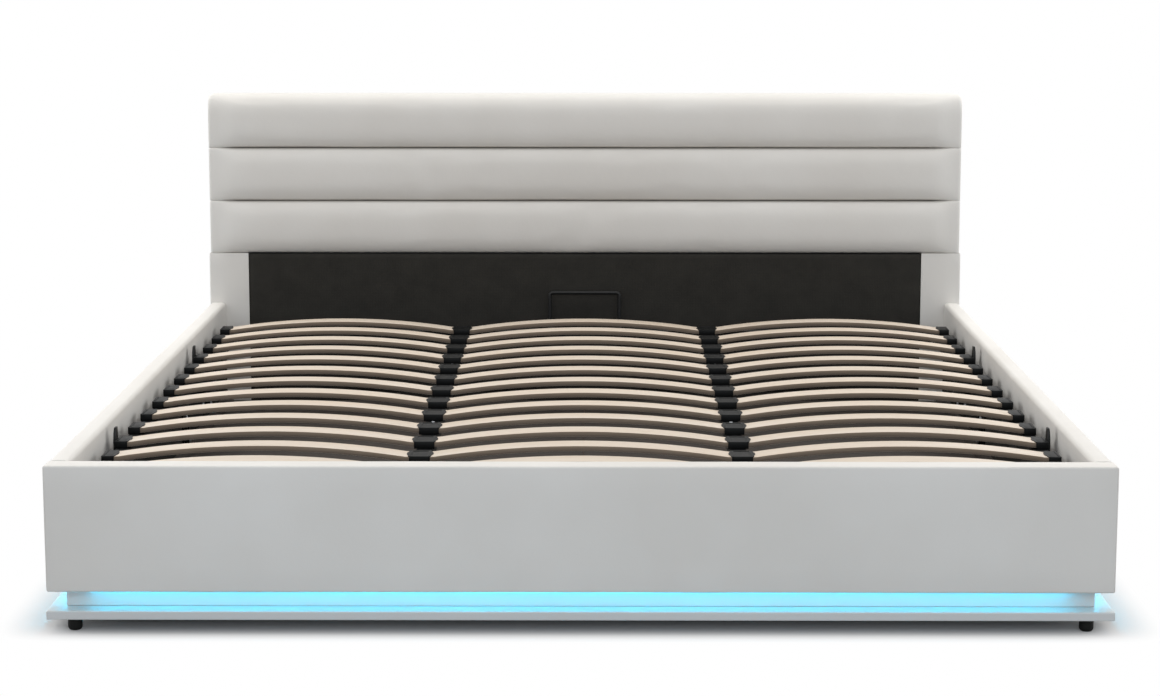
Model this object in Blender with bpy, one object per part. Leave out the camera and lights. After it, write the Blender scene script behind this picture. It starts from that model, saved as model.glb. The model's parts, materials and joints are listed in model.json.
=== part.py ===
# Storage bed in white faux leather: a channelled headboard, padded rails, a recessed lit plinth, and a sprung
# slatted platform that lifts at its foot end on a pair of four-bar fittings with gas struts.
# Metres, +Z up, +Y towards the headboard, origin on the floor under the middle of the bed.
import math

import bmesh
import bpy
from mathutils import Matrix, Vector

for leftover in list(bpy.data.objects):
    bpy.data.objects.remove(leftover, do_unlink=True)

# Overall sizes
BED_WIDTH = 1.900
FRAME_LENGTH = 2.065
HEADBOARD_THICK = 0.085
HEADBOARD_HEIGHT = 0.8325
SEAT_GAP = 0.0003

# Heights of the base, from the floor up
FOOT_HEIGHT = 0.0270
BASE_THICK = 0.0165
PLINTH_HEIGHT = 0.0330
RAIL_HEIGHT = 0.2305

# Boards
RAIL_THICK = 0.040
FOOTBOARD_THICK = 0.050
RAIL_TOP_ROUND = 0.013
RAIL_LOW_ROUND = 0.004
FOOTBOARD_ROUND = 0.005
PLINTH_THICK = 0.025
PLINTH_FRONT_SETBACK = 0.038
PLINTH_SIDE_SETBACK = 0.030
BASE_BOARD_RUN = 0.120
BASE_EDGE_ROUND = 0.002
FLOOR_PANEL_THICK = 0.012
BEAM_WIDTH = 0.070
STRIP_OFFSET = 0.012
STRIP_WIDTH = 0.008
STRIP_THICK = 0.0025

# Feet
FOOT_RADIUS = 0.0135
FOOT_FLAT_RADIUS = 0.0070
FOOT_DOME_HEIGHT = 0.007
FOOT_INSET = 0.044
FOOT_SETBACK = 0.038
CENTRE_FOOT_SPREAD = 1.000

# Headboard
PAD_BOTTOM = 0.433
CHANNEL_COUNT = 3
PAD_FRONT_THICK = 0.024
PAD_TOP_THICK = 0.030
PAD_CROWN = 0.010
PAD_CREASE = 0.014
PAD_TOP_ROUND = 0.034
PAD_BACK_ROUND = 0.008
PAD_END_ROUND = 0.010
PAD_END_INSET = 0.004
PAD_SIDE_INSET = 0.004
PAD_END_FADE = 0.060
PAD_END_STEPS = 3
PAD_END_FULLNESS_SHARE = 0.35
PUFF_POWER = 2.4
FABRIC_HALF_WIDTH = 0.851
FABRIC_RECESS = 0.012

# Slatted platform
TUBE_TOP = 0.2605
TUBE_SIZE = 0.030
TUBE_CORNER_ROUND = 0.002
TUBE_WALL = 0.0015
TUBE_SIDE_GAP = 0.0185
INNER_TUBE_OFFSET = 0.300
PLATFORM_FOOT_GAP = 0.010
PLATFORM_HEAD_GAP = 0.130
ROW_COUNT = 13
HEAD_ROW_SETBACK = 0.219
FOOT_ROW_SETBACK = 0.133
SLAT_WIDTH = 0.053
SLAT_THICK = 0.010
SLAT_RISE = 0.0215
SLAT_END_INSERT = 0.012
SLAT_TOP_INSET = 0.002
CAP_DEPTH = 0.058
CAP_HEIGHT = 0.0140
CAP_LENGTH = 0.0235
CONNECTOR_LENGTH = 0.039
TONGUE_BULGE = 0.0045
BAR_RADIUS = 0.005
BAR_WIDTH = 0.185
BAR_TOP = 0.3415
BAR_HEAD_GAP = 0.030
BAR_BEND_RADIUS = 0.010
HOOK_THICK = 0.006
HOOK_LENGTH = 0.026
HOOK_DROP = 0.022
HOOK_RISE = 0.037
HOOK_ROUND = 0.002
HOOK_TOP_SHARE = 0.62
HOOK_ROWS = (4, 11)

# Lift fittings: distances back from the headboard's front, and heights over the floor
MAIN_LINK_BASE = (0.404, 0.1175)
MAIN_LINK_TOP = (0.208, 0.2125)
SECOND_LINK_BASE = (0.735, 0.0955)
SECOND_LINK_TOP = (0.351, 0.2055)
STRUT_BASE = (0.420, 0.1455)
STRUT_TOP = (0.695, 0.2115)
PLATE_THICK = 0.003
LINK_THICK = 0.004
BRACKET_THICK = 0.003
LINK_RADIUS = 0.012
SECOND_LINK_RADIUS = 0.013
PLATE_MARGIN = 0.013
PIN_RADIUS = 0.005
PIN_CLEARANCE = 0.0003
PIN_BOSS_RADIUS = 0.009
PIN_HEAD = 0.001
STRUT_RADIUS = 0.008
STRUT_TUBE_LENGTH = 0.165
STRUT_TUBE_START = 0.016
STRUT_BORE_DEPTH = 0.125
STRUT_SIDE_SETBACK = 0.009
ROD_RADIUS = 0.004
ROD_REACH_INSIDE = 0.100
EYE_RADIUS = 0.0085
EYE_THICK = 0.008
STRUT_PIN_RADIUS = 0.004
STUD_RADIUS = 0.005
CLEAT_WIDTH = 0.040
CLEAT_HEIGHT = 0.030
CLEAT_HEAD_SETBACK = 0.890
CLEAT_FOOT_SETBACK = 0.020

# Steps that set how smooth the round shapes are
LATHE_STEPS = 16
ARC_STEPS = 4
SLAT_STEPS = 8

# Places that follow from the sizes above
HALF_WIDTH = BED_WIDTH / 2
TOTAL_LENGTH = FRAME_LENGTH + HEADBOARD_THICK
FRONT_Y = -TOTAL_LENGTH / 2
HEAD_Y = FRONT_Y + FRAME_LENGTH
BACK_Y = TOTAL_LENGTH / 2
BASE_TOP = FOOT_HEIGHT + BASE_THICK
PLINTH_TOP = BASE_TOP + PLINTH_HEIGHT
RAIL_TOP = PLINTH_TOP + RAIL_HEIGHT
INNER_HALF = HALF_WIDTH - RAIL_THICK
INNER_FRONT_Y = FRONT_Y + FOOTBOARD_THICK
TUBE_LOW = TUBE_TOP - TUBE_SIZE
TUBE_OUTER = INNER_HALF - TUBE_SIDE_GAP
TUBE_INNER = TUBE_OUTER - TUBE_SIZE
PLATFORM_FRONT_Y = INNER_FRONT_Y + PLATFORM_FOOT_GAP
PLATFORM_BACK_Y = HEAD_Y - PLATFORM_HEAD_GAP
HEAD_ROW_Y = HEAD_Y - HEAD_ROW_SETBACK
FOOT_ROW_Y = FRONT_Y + FOOT_ROW_SETBACK
ROW_PITCH = (HEAD_ROW_Y - FOOT_ROW_Y) / (ROW_COUNT - 1)
CAP_LOW = TUBE_TOP + SEAT_GAP
CAP_TOP = CAP_LOW + CAP_HEIGHT


def lift_point(back_and_height):
    """A point of the lift fitting as (y, z), from its distance back from the headboard's front and its height."""
    back, height = back_and_height
    return (HEAD_Y - back, height)


MAIN_LOW = lift_point(MAIN_LINK_BASE)
MAIN_HIGH = lift_point(MAIN_LINK_TOP)
SECOND_LOW = lift_point(SECOND_LINK_BASE)
SECOND_HIGH = lift_point(SECOND_LINK_TOP)
STRUT_LOW = lift_point(STRUT_BASE)
STRUT_HIGH = lift_point(STRUT_TOP)


def material(name, colour, roughness, metallic=0.0):
    """A Principled BSDF material from a linear colour."""
    made = bpy.data.materials.new(name)
    made.use_nodes = True
    shader = made.node_tree.nodes["Principled BSDF"]
    shader.inputs["Base Color"].default_value = (*colour, 1.0)
    shader.inputs["Roughness"].default_value = roughness
    shader.inputs["Metallic"].default_value = metallic
    return made


LEATHER = material("white_leather", (0.80, 0.79, 0.76), 0.45)
BOARD = material("white_board", (0.72, 0.73, 0.73), 0.55)
FABRIC = material("black_fabric", (0.020, 0.019, 0.018), 0.95)
BEECH = material("beech", (0.72, 0.58, 0.42), 0.50)
PLASTIC = material("black_plastic", (0.022, 0.022, 0.022), 0.45)
STEEL = material("black_steel", (0.030, 0.030, 0.032), 0.40, 0.6)
PLYWOOD = material("grey_panel", (0.30, 0.30, 0.30), 0.80)
PINE = material("pine", (0.60, 0.45, 0.28), 0.70)
CHROME = material("bright_rod", (0.60, 0.60, 0.60), 0.20, 1.0)
LED = material("led_strip", (0.30, 0.85, 1.00), 0.40)


def finish(mesh, name, surface, origin=(0, 0, 0), parent=None):
    """Turn a bmesh in world coordinates into a named object with its origin at a given point."""
    bmesh.ops.recalc_face_normals(mesh, faces=mesh.faces)
    bmesh.ops.translate(mesh, verts=mesh.verts, vec=-Vector(origin))
    data = bpy.data.meshes.new(name)
    mesh.to_mesh(data)
    mesh.free()
    made = bpy.data.objects.new(name, data)
    made.location = origin
    for one in surface if isinstance(surface, tuple) else (surface,):
        data.materials.append(one)
    bpy.context.scene.collection.objects.link(made)
    if parent is not None:
        made.parent = parent
        made.location = Vector(origin) - parent.location
    data.shade_smooth()
    data.set_sharp_from_angle(angle=math.radians(35))
    return made


def pivot(name, point):
    """An empty on a joint's axis, which carries the pieces that turn about it."""
    made = bpy.data.objects.new(name, None)
    made.location = point
    bpy.context.scene.collection.objects.link(made)
    return made


def block(low, high, edge=0.0, segments=2):
    """A bmesh box between two corners, with its edges rounded."""
    mesh = bmesh.new()
    low, high = Vector(low), Vector(high)
    bmesh.ops.create_cube(mesh, size=1)
    bmesh.ops.scale(mesh, verts=mesh.verts, vec=high - low)
    bmesh.ops.translate(mesh, verts=mesh.verts, vec=(low + high) / 2)
    if edge:
        bmesh.ops.bevel(
            mesh, geom=mesh.edges[:], offset=edge, segments=segments, profile=0.5, affect="EDGES", clamp_overlap=True
        )
    return mesh


def prism(outline, axis, start, end):
    """An outline of (a, b) pairs run along one axis; the pairs are the other two axes in x, y, z order."""
    mesh = bmesh.new()

    def spot(pair, along):
        values = list(pair)
        values.insert("xyz".index(axis), along)
        return values

    face = mesh.faces.new([mesh.verts.new(spot(pair, start)) for pair in outline])
    run = Vector(spot((0, 0), end)) - Vector(spot((0, 0), start))
    grown = bmesh.ops.extrude_face_region(mesh, geom=[face])
    bmesh.ops.translate(mesh, verts=[v for v in grown["geom"] if isinstance(v, bmesh.types.BMVert)], vec=run)
    return mesh


def rounded_outline(low, high, radii, steps=ARC_STEPS):
    """A rectangle whose corners, from the low left anticlockwise, have their own radii."""
    (a0, b0), (a1, b1) = low, high
    corners = ((a0, b0, 1, 1, 180), (a1, b0, -1, 1, 270), (a1, b1, -1, -1, 0), (a0, b1, 1, -1, 90))
    points = []
    for (a, b, inward_a, inward_b, turn), radius in zip(corners, radii):
        for step in range(steps + 1):
            angle = math.radians(turn + 90 * step / steps)
            centre = (a + inward_a * radius, b + inward_b * radius)
            points.append((centre[0] + radius * math.cos(angle), centre[1] + radius * math.sin(angle)))
    return points


def wrap(circles, steps=LATHE_STEPS):
    """The convex outline drawn tight around circles given as (a, b, radius)."""
    points = sorted(
        (a + r * math.cos(math.tau * k / steps), b + r * math.sin(math.tau * k / steps))
        for a, b, r in circles
        for k in range(steps)
    )

    def chain(row):
        kept = []
        for p in row:
            while len(kept) > 1:
                (ax, ay), (bx, by) = kept[-2:]
                if (bx - ax) * (p[1] - ay) - (by - ay) * (p[0] - ax) > 0:
                    break
                kept.pop()
            kept.append(p)
        return kept[:-1]

    return chain(points) + chain(points[::-1])


def loft(sections):
    """A closed skin over loops of points with equal counts, with flat ends."""
    mesh = bmesh.new()
    loops = [[mesh.verts.new(p) for p in loop] for loop in sections]
    for first, second in zip(loops, loops[1:]):
        for k in range(len(first)):
            mesh.faces.new((first[k - 1], first[k], second[k], second[k - 1]))
    mesh.faces.new(loops[0])
    mesh.faces.new(loops[-1][::-1])
    return mesh


def turned(profile, centre, direction, steps=LATHE_STEPS):
    """A profile of (radius, run) pairs, from axis to axis, spun about a direction through a centre."""
    mesh = bmesh.new()
    verts = [mesh.verts.new((r, 0, run)) for r, run in profile]
    edges = [mesh.edges.new(pair) for pair in zip(verts, verts[1:])]
    bmesh.ops.spin(
        mesh, geom=verts + edges, cent=(0, 0, 0), axis=(0, 0, 1), angle=math.tau, steps=steps, use_duplicate=False
    )
    bmesh.ops.remove_doubles(mesh, verts=mesh.verts, dist=SEAT_GAP / 100)
    turn = Vector(direction).to_track_quat("Z", "Y").to_matrix().to_4x4()
    bmesh.ops.transform(mesh, matrix=Matrix.Translation(centre) @ turn, verts=mesh.verts)
    return mesh


def mirror_mesh(mesh):
    """A copy of a bmesh on the other side of the bed."""
    other = mesh.copy()
    bmesh.ops.scale(other, verts=other.verts, vec=(-1, 1, 1))
    bmesh.ops.reverse_faces(other, faces=other.faces)
    return other


def pair(mesh, name, surface, origin=(0, 0, 0), parent=None):
    """The right piece (+X) as modelled and the left piece as its mirror image."""
    other = mirror_mesh(mesh)
    x, y, z = origin
    return (
        finish(mesh, f"{name}_right", surface, origin, parent),
        finish(other, f"{name}_left", surface, (-x, y, z), parent),
    )


def helper(mesh, name):
    """A cutter or a piece to be joined, which isn't a part of the model itself."""
    made = finish(mesh, name, PLASTIC)
    made.hide_render = True
    made.display_type = "WIRE"
    return made


def combine(target, helpers, operation):
    """Join or cut a target with helpers by exact Booleans that stay on it."""
    for one in helpers:
        step = target.modifiers.new(one.name, "BOOLEAN")
        step.object = one
        step.operation = operation
        step.solver = "EXACT"
    return target


def fix(target):
    """Replace an object's mesh by its evaluated one and drop its modifiers and helpers."""
    helpers = [step.object for step in target.modifiers]
    target.data = bpy.data.meshes.new_from_object(target.evaluated_get(bpy.context.evaluated_depsgraph_get()))
    target.modifiers.clear()
    for one in helpers:
        bpy.data.objects.remove(one, do_unlink=True)
    return target


# Base boards, feet, centre beam and storage floor
BOARD_BACK_OF_FRONT = FRONT_Y + BASE_BOARD_RUN
INNER_BOARD_X = HALF_WIDTH - BASE_BOARD_RUN
finish(
    block(
        (-HALF_WIDTH, FRONT_Y, FOOT_HEIGHT), (HALF_WIDTH, BOARD_BACK_OF_FRONT, BASE_TOP - SEAT_GAP), BASE_EDGE_ROUND
    ),
    "base_board_front",
    BOARD,
)
pair(
    block(
        (INNER_BOARD_X, BOARD_BACK_OF_FRONT + SEAT_GAP, FOOT_HEIGHT),
        (HALF_WIDTH, BACK_Y, BASE_TOP - SEAT_GAP),
        BASE_EDGE_ROUND,
    ),
    "base_board",
    BOARD,
)
finish(
    block(
        (-BEAM_WIDTH / 2, BOARD_BACK_OF_FRONT + SEAT_GAP, FOOT_HEIGHT),
        (BEAM_WIDTH / 2, HEAD_Y, BASE_TOP - SEAT_GAP),
        BASE_EDGE_ROUND,
    ),
    "centre_beam",
    PINE,
)

FOOT_PROFILE = [
    (0, 0),
    (FOOT_FLAT_RADIUS, 0),
    *(
        (
            FOOT_FLAT_RADIUS + (FOOT_RADIUS - FOOT_FLAT_RADIUS) * math.sin(math.radians(90 * k / ARC_STEPS)),
            FOOT_DOME_HEIGHT * (1 - math.cos(math.radians(90 * k / ARC_STEPS))),
        )
        for k in range(1, ARC_STEPS + 1)
    ),
    (FOOT_RADIUS, FOOT_HEIGHT - SEAT_GAP),
    (0, FOOT_HEIGHT - SEAT_GAP),
]
FOOT_X = HALF_WIDTH - FOOT_INSET
for place, y in (("front", FRONT_Y + FOOT_SETBACK), ("rear", BACK_Y - FOOT_SETBACK)):
    pair(turned(FOOT_PROFILE, (FOOT_X, y, 0), (0, 0, 1)), f"foot_{place}", PLASTIC, (FOOT_X, y, 0))
for place, side in (("front", -1), ("rear", 1)):
    spot = (0, side * CENTRE_FOOT_SPREAD / 2, 0)
    finish(turned(FOOT_PROFILE, spot, (0, 0, 1)), f"foot_centre_{place}", PLASTIC, spot)

# Recessed plinth with its light strip
PLINTH_FRONT_Y = FRONT_Y + PLINTH_FRONT_SETBACK
PLINTH_BACK_Y = PLINTH_FRONT_Y + PLINTH_THICK
PLINTH_X = HALF_WIDTH - PLINTH_SIDE_SETBACK
finish(
    block(
        (-PLINTH_X, PLINTH_FRONT_Y, BASE_TOP), (PLINTH_X, PLINTH_BACK_Y, PLINTH_TOP - SEAT_GAP), BASE_EDGE_ROUND / 2, 1
    ),
    "plinth_front",
    BOARD,
)
pair(
    block(
        (PLINTH_X - PLINTH_THICK, PLINTH_BACK_Y + SEAT_GAP, BASE_TOP),
        (PLINTH_X, HEAD_Y - SEAT_GAP, PLINTH_TOP - SEAT_GAP),
        BASE_EDGE_ROUND / 2,
        1,
    ),
    "plinth",
    BOARD,
)


def strip_line(offset):
    """The strip's run in plan, a given distance off the plinth's faces, bent round its two front corners."""
    points = [(-PLINTH_X - offset, HEAD_Y - SEAT_GAP)]
    for side, turn in ((-1, 180), (1, 270)):
        for step in range(ARC_STEPS + 1):
            angle = math.radians(turn + 90 * step / ARC_STEPS)
            points.append((side * PLINTH_X + offset * math.cos(angle), PLINTH_FRONT_Y + offset * math.sin(angle)))
    points.append((PLINTH_X + offset, HEAD_Y - SEAT_GAP))
    return points


STRIP_HIGH = PLINTH_TOP - SEAT_GAP
finish(
    prism(
        strip_line(STRIP_OFFSET + STRIP_WIDTH) + strip_line(STRIP_OFFSET)[::-1],
        "z",
        STRIP_HIGH - STRIP_THICK,
        STRIP_HIGH,
    ),
    "led_strip",
    LED,
)

FLOOR_EDGE = PLINTH_X - PLINTH_THICK - SEAT_GAP
pair(
    block(
        (SEAT_GAP, PLINTH_BACK_Y + SEAT_GAP, BASE_TOP),
        (FLOOR_EDGE, HEAD_Y - SEAT_GAP, BASE_TOP + FLOOR_PANEL_THICK),
        BASE_EDGE_ROUND / 2,
        1,
    ),
    "floor_panel",
    PLYWOOD,
)

# Footboard, side rails and the cleats that the closed platform lies on
finish(
    block((-HALF_WIDTH, FRONT_Y, PLINTH_TOP), (HALF_WIDTH, INNER_FRONT_Y, RAIL_TOP), FOOTBOARD_ROUND, 3),
    "footboard",
    LEATHER,
)
RAIL_OUTLINE = rounded_outline(
    (INNER_HALF, PLINTH_TOP), (HALF_WIDTH, RAIL_TOP), (RAIL_LOW_ROUND, RAIL_LOW_ROUND, RAIL_TOP_ROUND, RAIL_TOP_ROUND)
)
pair(prism(RAIL_OUTLINE, "y", INNER_FRONT_Y + SEAT_GAP, HEAD_Y - SEAT_GAP), "side_rail", LEATHER)
CLEAT_TOP = TUBE_LOW - SEAT_GAP
pair(
    block(
        (INNER_HALF - CLEAT_WIDTH, INNER_FRONT_Y + CLEAT_FOOT_SETBACK, CLEAT_TOP - CLEAT_HEIGHT),
        (INNER_HALF - SEAT_GAP, HEAD_Y - CLEAT_HEAD_SETBACK, CLEAT_TOP),
        BASE_EDGE_ROUND,
        1,
    ),
    "rest_cleat",
    PINE,
)

# Headboard: board with a shallow recess for the bare fabric, and the channelled pad over its upper part
RECESS_TOP = PAD_BOTTOM - SEAT_GAP
BOARD_TOP = HEADBOARD_HEIGHT - PAD_TOP_THICK - SEAT_GAP
UPPER_FRONT_Y = HEAD_Y + PAD_FRONT_THICK
BOARD_OUTLINE = [
    (HEAD_Y, BASE_TOP),
    (BACK_Y, BASE_TOP),
    (BACK_Y, BOARD_TOP),
    (UPPER_FRONT_Y, BOARD_TOP),
    (UPPER_FRONT_Y, RECESS_TOP),
    (HEAD_Y, RECESS_TOP),
]
board = finish(prism(BOARD_OUTLINE, "x", -HALF_WIDTH, HALF_WIDTH), "headboard_board", LEATHER)
recess = helper(
    block(
        (-FABRIC_HALF_WIDTH, HEAD_Y - FABRIC_RECESS, PLINTH_TOP),
        (FABRIC_HALF_WIDTH, HEAD_Y + FABRIC_RECESS, RECESS_TOP + FABRIC_RECESS),
    ),
    "fabric_recess",
)
combine(board, [recess], "DIFFERENCE")
finish(
    block(
        (-FABRIC_HALF_WIDTH + SEAT_GAP, HEAD_Y, PLINTH_TOP + SEAT_GAP),
        (FABRIC_HALF_WIDTH - SEAT_GAP, HEAD_Y + FABRIC_RECESS - SEAT_GAP, RECESS_TOP),
    ),
    "headboard_fabric",
    FABRIC,
)

CHANNEL_HEIGHT = (HEADBOARD_HEIGHT - PAD_BOTTOM) / CHANNEL_COUNT


def puff(share, power):
    """How far a channel stands out at a share of its height: nothing at its seams, one at its middle."""
    return max(0.0, 1 - abs(2 * share - 1) ** power) ** (1 / power)


def pad_section(x, fullness, inset):
    """The pad's outline at one place along the bed: puffed channels in front, a rounded top and a flat back."""
    front = HEAD_Y + inset
    seam = PAD_CREASE * fullness
    crown = -PAD_CROWN * fullness
    points = []
    for index in range(CHANNEL_COUNT):
        last = index == CHANNEL_COUNT - 1
        for step in range(ARC_STEPS if last else 2 * ARC_STEPS):
            share = (1 - math.cos(math.pi * step / (2 * ARC_STEPS))) / 2
            y = front + seam + (crown - seam) * puff(share, PUFF_POWER)
            points.append((x, y, PAD_BOTTOM + CHANNEL_HEIGHT * (index + share)))
    middle = HEADBOARD_HEIGHT - CHANNEL_HEIGHT / 2
    for step in range(2 * ARC_STEPS + 1):
        angle = math.radians(90 * step / (2 * ARC_STEPS))
        out = math.cos(angle) ** (2 / PUFF_POWER)
        up = math.sin(angle) ** (2 / PUFF_POWER)
        y = front + crown + (PAD_TOP_ROUND - crown) * (1 - out)
        points.append((x, y, middle + (HEADBOARD_HEIGHT - inset - middle) * up))
    points.append((x, BACK_Y - PAD_BACK_ROUND, HEADBOARD_HEIGHT - inset))
    points.append((x, BACK_Y, HEADBOARD_HEIGHT - PAD_BACK_ROUND - inset))
    points.append((x, BACK_Y, BOARD_TOP + SEAT_GAP))
    points.append((x, UPPER_FRONT_Y - SEAT_GAP, BOARD_TOP + SEAT_GAP))
    points.append((x, UPPER_FRONT_Y - SEAT_GAP, PAD_BOTTOM))
    return points


PAD_HALF = HALF_WIDTH - PAD_SIDE_INSET
PAD_SECTIONS = [pad_section(PAD_HALF - PAD_END_FADE, 1, 0)]
for step in range(PAD_END_STEPS + 1):
    angle = math.radians(90 * step / PAD_END_STEPS)
    PAD_SECTIONS.append(
        pad_section(
            PAD_HALF - PAD_END_ROUND * (1 - math.sin(angle)),
            PAD_END_FULLNESS_SHARE * math.cos(angle),
            PAD_END_INSET * (1 - math.cos(angle)),
        )
    )
LEFT_SECTIONS = [[(-x, y, z) for x, y, z in section] for section in reversed(PAD_SECTIONS)]
finish(loft(LEFT_SECTIONS + PAD_SECTIONS), "headboard_pad", LEATHER)

# Slatted platform: everything here turns with the empty on the main links' upper pins
platform = pivot("platform_pivot", (0, *MAIN_HIGH))
PIVOT = platform.location


def tube(low, high, axis, name, mirrored=False):
    """A square steel tube with eased corners and open ends, run along one axis between two corners."""
    run = "xyz".index(axis)
    across = [k for k in range(3) if k != run]
    corners = [[point[k] for k in across] for point in (low, high)]
    skins = []
    for inset, radius in ((0, TUBE_CORNER_ROUND), (TUBE_WALL, TUBE_CORNER_ROUND - TUBE_WALL)):
        outline = rounded_outline([c + inset for c in corners[0]], [c - inset for c in corners[1]], [radius] * 4, 1)
        skins.append(prism(outline, axis, low[run] - inset, high[run] + inset))
    made = helper(skins[0], name)
    combine(made, [helper(skins[1], f"{name}_bore")], "DIFFERENCE")
    mesh = bmesh.new()
    mesh.from_mesh(fix(made).data)
    bpy.data.objects.remove(made, do_unlink=True)
    return (pair if mirrored else finish)(mesh, name, STEEL, PIVOT, platform)


tube((TUBE_INNER, PLATFORM_FRONT_Y, TUBE_LOW), (TUBE_OUTER, PLATFORM_BACK_Y, TUBE_TOP), "y", "frame_side_tube", True)
tube(
    (INNER_TUBE_OFFSET - TUBE_SIZE / 2, PLATFORM_FRONT_Y + TUBE_SIZE + SEAT_GAP, TUBE_LOW),
    (INNER_TUBE_OFFSET + TUBE_SIZE / 2, PLATFORM_BACK_Y - TUBE_SIZE - SEAT_GAP, TUBE_TOP),
    "y",
    "frame_inner_tube",
    True,
)
for name, y in (("foot", PLATFORM_FRONT_Y), ("head", PLATFORM_BACK_Y - TUBE_SIZE)):
    reach = TUBE_INNER - SEAT_GAP
    tube((-reach, y, TUBE_LOW), (reach, y + TUBE_SIZE, TUBE_TOP), "x", f"frame_{name}_tube")


def bulged(low_x, high_x, low_bulge, high_bulge):
    """A cap's outline in plan, centred on its row, with a tongue that curves out over the slat where it has one."""
    half = CAP_DEPTH / 2
    points = []
    for side, x, bulge in ((1, high_x, high_bulge), (-1, low_x, low_bulge)):
        for step in range(ARC_STEPS + 1 if bulge else 2):
            share = 2 * step / (ARC_STEPS if bulge else 1) - 1
            points.append((x + side * bulge * (1 - share * share), side * half * share))
    return points


def slat(start, end):
    """One bowed slat between two places across the bed: an arc that rises to its middle, square in section."""
    top = CAP_TOP - SLAT_TOP_INSET
    reach = SLAT_WIDTH / 2
    sections = []
    for step in range(SLAT_STEPS + 1):
        share = step / SLAT_STEPS
        z = top + SLAT_RISE * (1 - (2 * share - 1) ** 2)
        x = start + (end - start) * share
        sections.append([(x, -reach, z - SLAT_THICK), (x, reach, z - SLAT_THICK), (x, reach, z), (x, -reach, z)])
    return loft(sections)


CAP_X = TUBE_OUTER - CAP_LENGTH
CONNECTOR_X = INNER_TUBE_OFFSET + CONNECTOR_LENGTH / 2
row_parts = [
    (prism(bulged(CAP_X, TUBE_OUTER, TONGUE_BULGE, 0), "z", CAP_LOW, CAP_TOP), True),
    (
        prism(
            bulged(CONNECTOR_X - CONNECTOR_LENGTH, CONNECTOR_X, TONGUE_BULGE, TONGUE_BULGE), "z", CAP_LOW, CAP_TOP
        ),
        True,
    ),
    (slat(CONNECTOR_X - SLAT_END_INSERT, CAP_X + SLAT_END_INSERT), True),
    (slat(-(INNER_TUBE_OFFSET - CONNECTOR_LENGTH / 2 + SLAT_END_INSERT),
          INNER_TUBE_OFFSET - CONNECTOR_LENGTH / 2 + SLAT_END_INSERT), False),
]
pieces = []
for index, (mesh, both_sides) in enumerate(row_parts):
    if both_sides:
        pieces.append(helper(mirror_mesh(mesh), f"row_piece_left_{index}"))
    pieces.append(helper(mesh, f"row_piece_{index}"))
row = pieces.pop()
combine(row, pieces, "UNION")
fix(row)
ROW_MESH = row.data
bpy.data.objects.remove(row, do_unlink=True)
ROW_MESH.name = "slat_row"
ROW_MESH.materials.clear()
ROW_MESH.materials.append(BEECH)
for number in range(1, ROW_COUNT + 1):
    one = bpy.data.objects.new(f"slat_row_{number:02d}", ROW_MESH)
    bpy.context.scene.collection.objects.link(one)
    one.parent = platform
    one.location = Vector((0, HEAD_ROW_Y - ROW_PITCH * (number - 1), 0)) - PIVOT

# Mattress stops: the round bar behind the head end, bent up from two legs, and the upright hooks on the side tubes
BAR_Y = HEAD_Y - BAR_HEAD_GAP
BAR_LEG_X = BAR_WIDTH / 2 - BAR_RADIUS
BAR_LEG_Z = TUBE_TOP - TUBE_SIZE / 2
bar_half = [(BAR_LEG_X, PLATFORM_BACK_Y + SEAT_GAP, BAR_LEG_Z)]
for step in range(ARC_STEPS + 1):
    angle = math.radians(90 * step / ARC_STEPS)
    bar_half.append(
        (
            BAR_LEG_X,
            BAR_Y - BAR_BEND_RADIUS * (1 - math.sin(angle)),
            BAR_LEG_Z + BAR_BEND_RADIUS * (1 - math.cos(angle)),
        )
    )
for step in range(ARC_STEPS + 1):
    angle = math.radians(90 * step / ARC_STEPS)
    bar_half.append(
        (
            BAR_LEG_X - BAR_BEND_RADIUS * (1 - math.cos(angle)),
            BAR_Y,
            BAR_TOP - BAR_RADIUS - BAR_BEND_RADIUS * (1 - math.sin(angle)),
        )
    )
bar_line = [(-x, y, z) for x, y, z in bar_half] + bar_half[::-1]
bar_curve = bpy.data.curves.new("stop_bar", "CURVE")
bar_curve.dimensions = "3D"
bar_curve.bevel_depth = BAR_RADIUS
bar_curve.bevel_resolution = 2
bar_curve.use_fill_caps = True
spline = bar_curve.splines.new("POLY")
spline.points.add(len(bar_line) - 1)
for point, spot in zip(spline.points, bar_line):
    point.co = (*(Vector(spot) - PIVOT), 1)
stop_bar = bpy.data.objects.new("stop_bar", bar_curve)
bar_curve.materials.append(STEEL)
bpy.context.scene.collection.objects.link(stop_bar)
stop_bar.parent = platform

for number, place in zip(HOOK_ROWS, ("head", "foot")):
    y = HEAD_ROW_Y - ROW_PITCH * (number - 1)
    mesh = block(
        (TUBE_OUTER + SEAT_GAP, y - HOOK_LENGTH / 2, TUBE_TOP - HOOK_DROP),
        (TUBE_OUTER + SEAT_GAP + HOOK_THICK, y + HOOK_LENGTH / 2, TUBE_TOP + HOOK_RISE),
    )
    high = [v for v in mesh.verts if v.co.z > TUBE_TOP]
    for v in high:
        v.co.y = y + (v.co.y - y) * HOOK_TOP_SHARE
        v.co.x = TUBE_OUTER + SEAT_GAP + (v.co.x - TUBE_OUTER - SEAT_GAP) * HOOK_TOP_SHARE
    bmesh.ops.bevel(
        mesh, geom=mesh.edges[:], offset=HOOK_ROUND, segments=3, profile=0.5, affect="EDGES", clamp_overlap=True
    )
    pair(mesh, f"mattress_hook_{place}", STEEL, PIVOT, platform)

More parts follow.
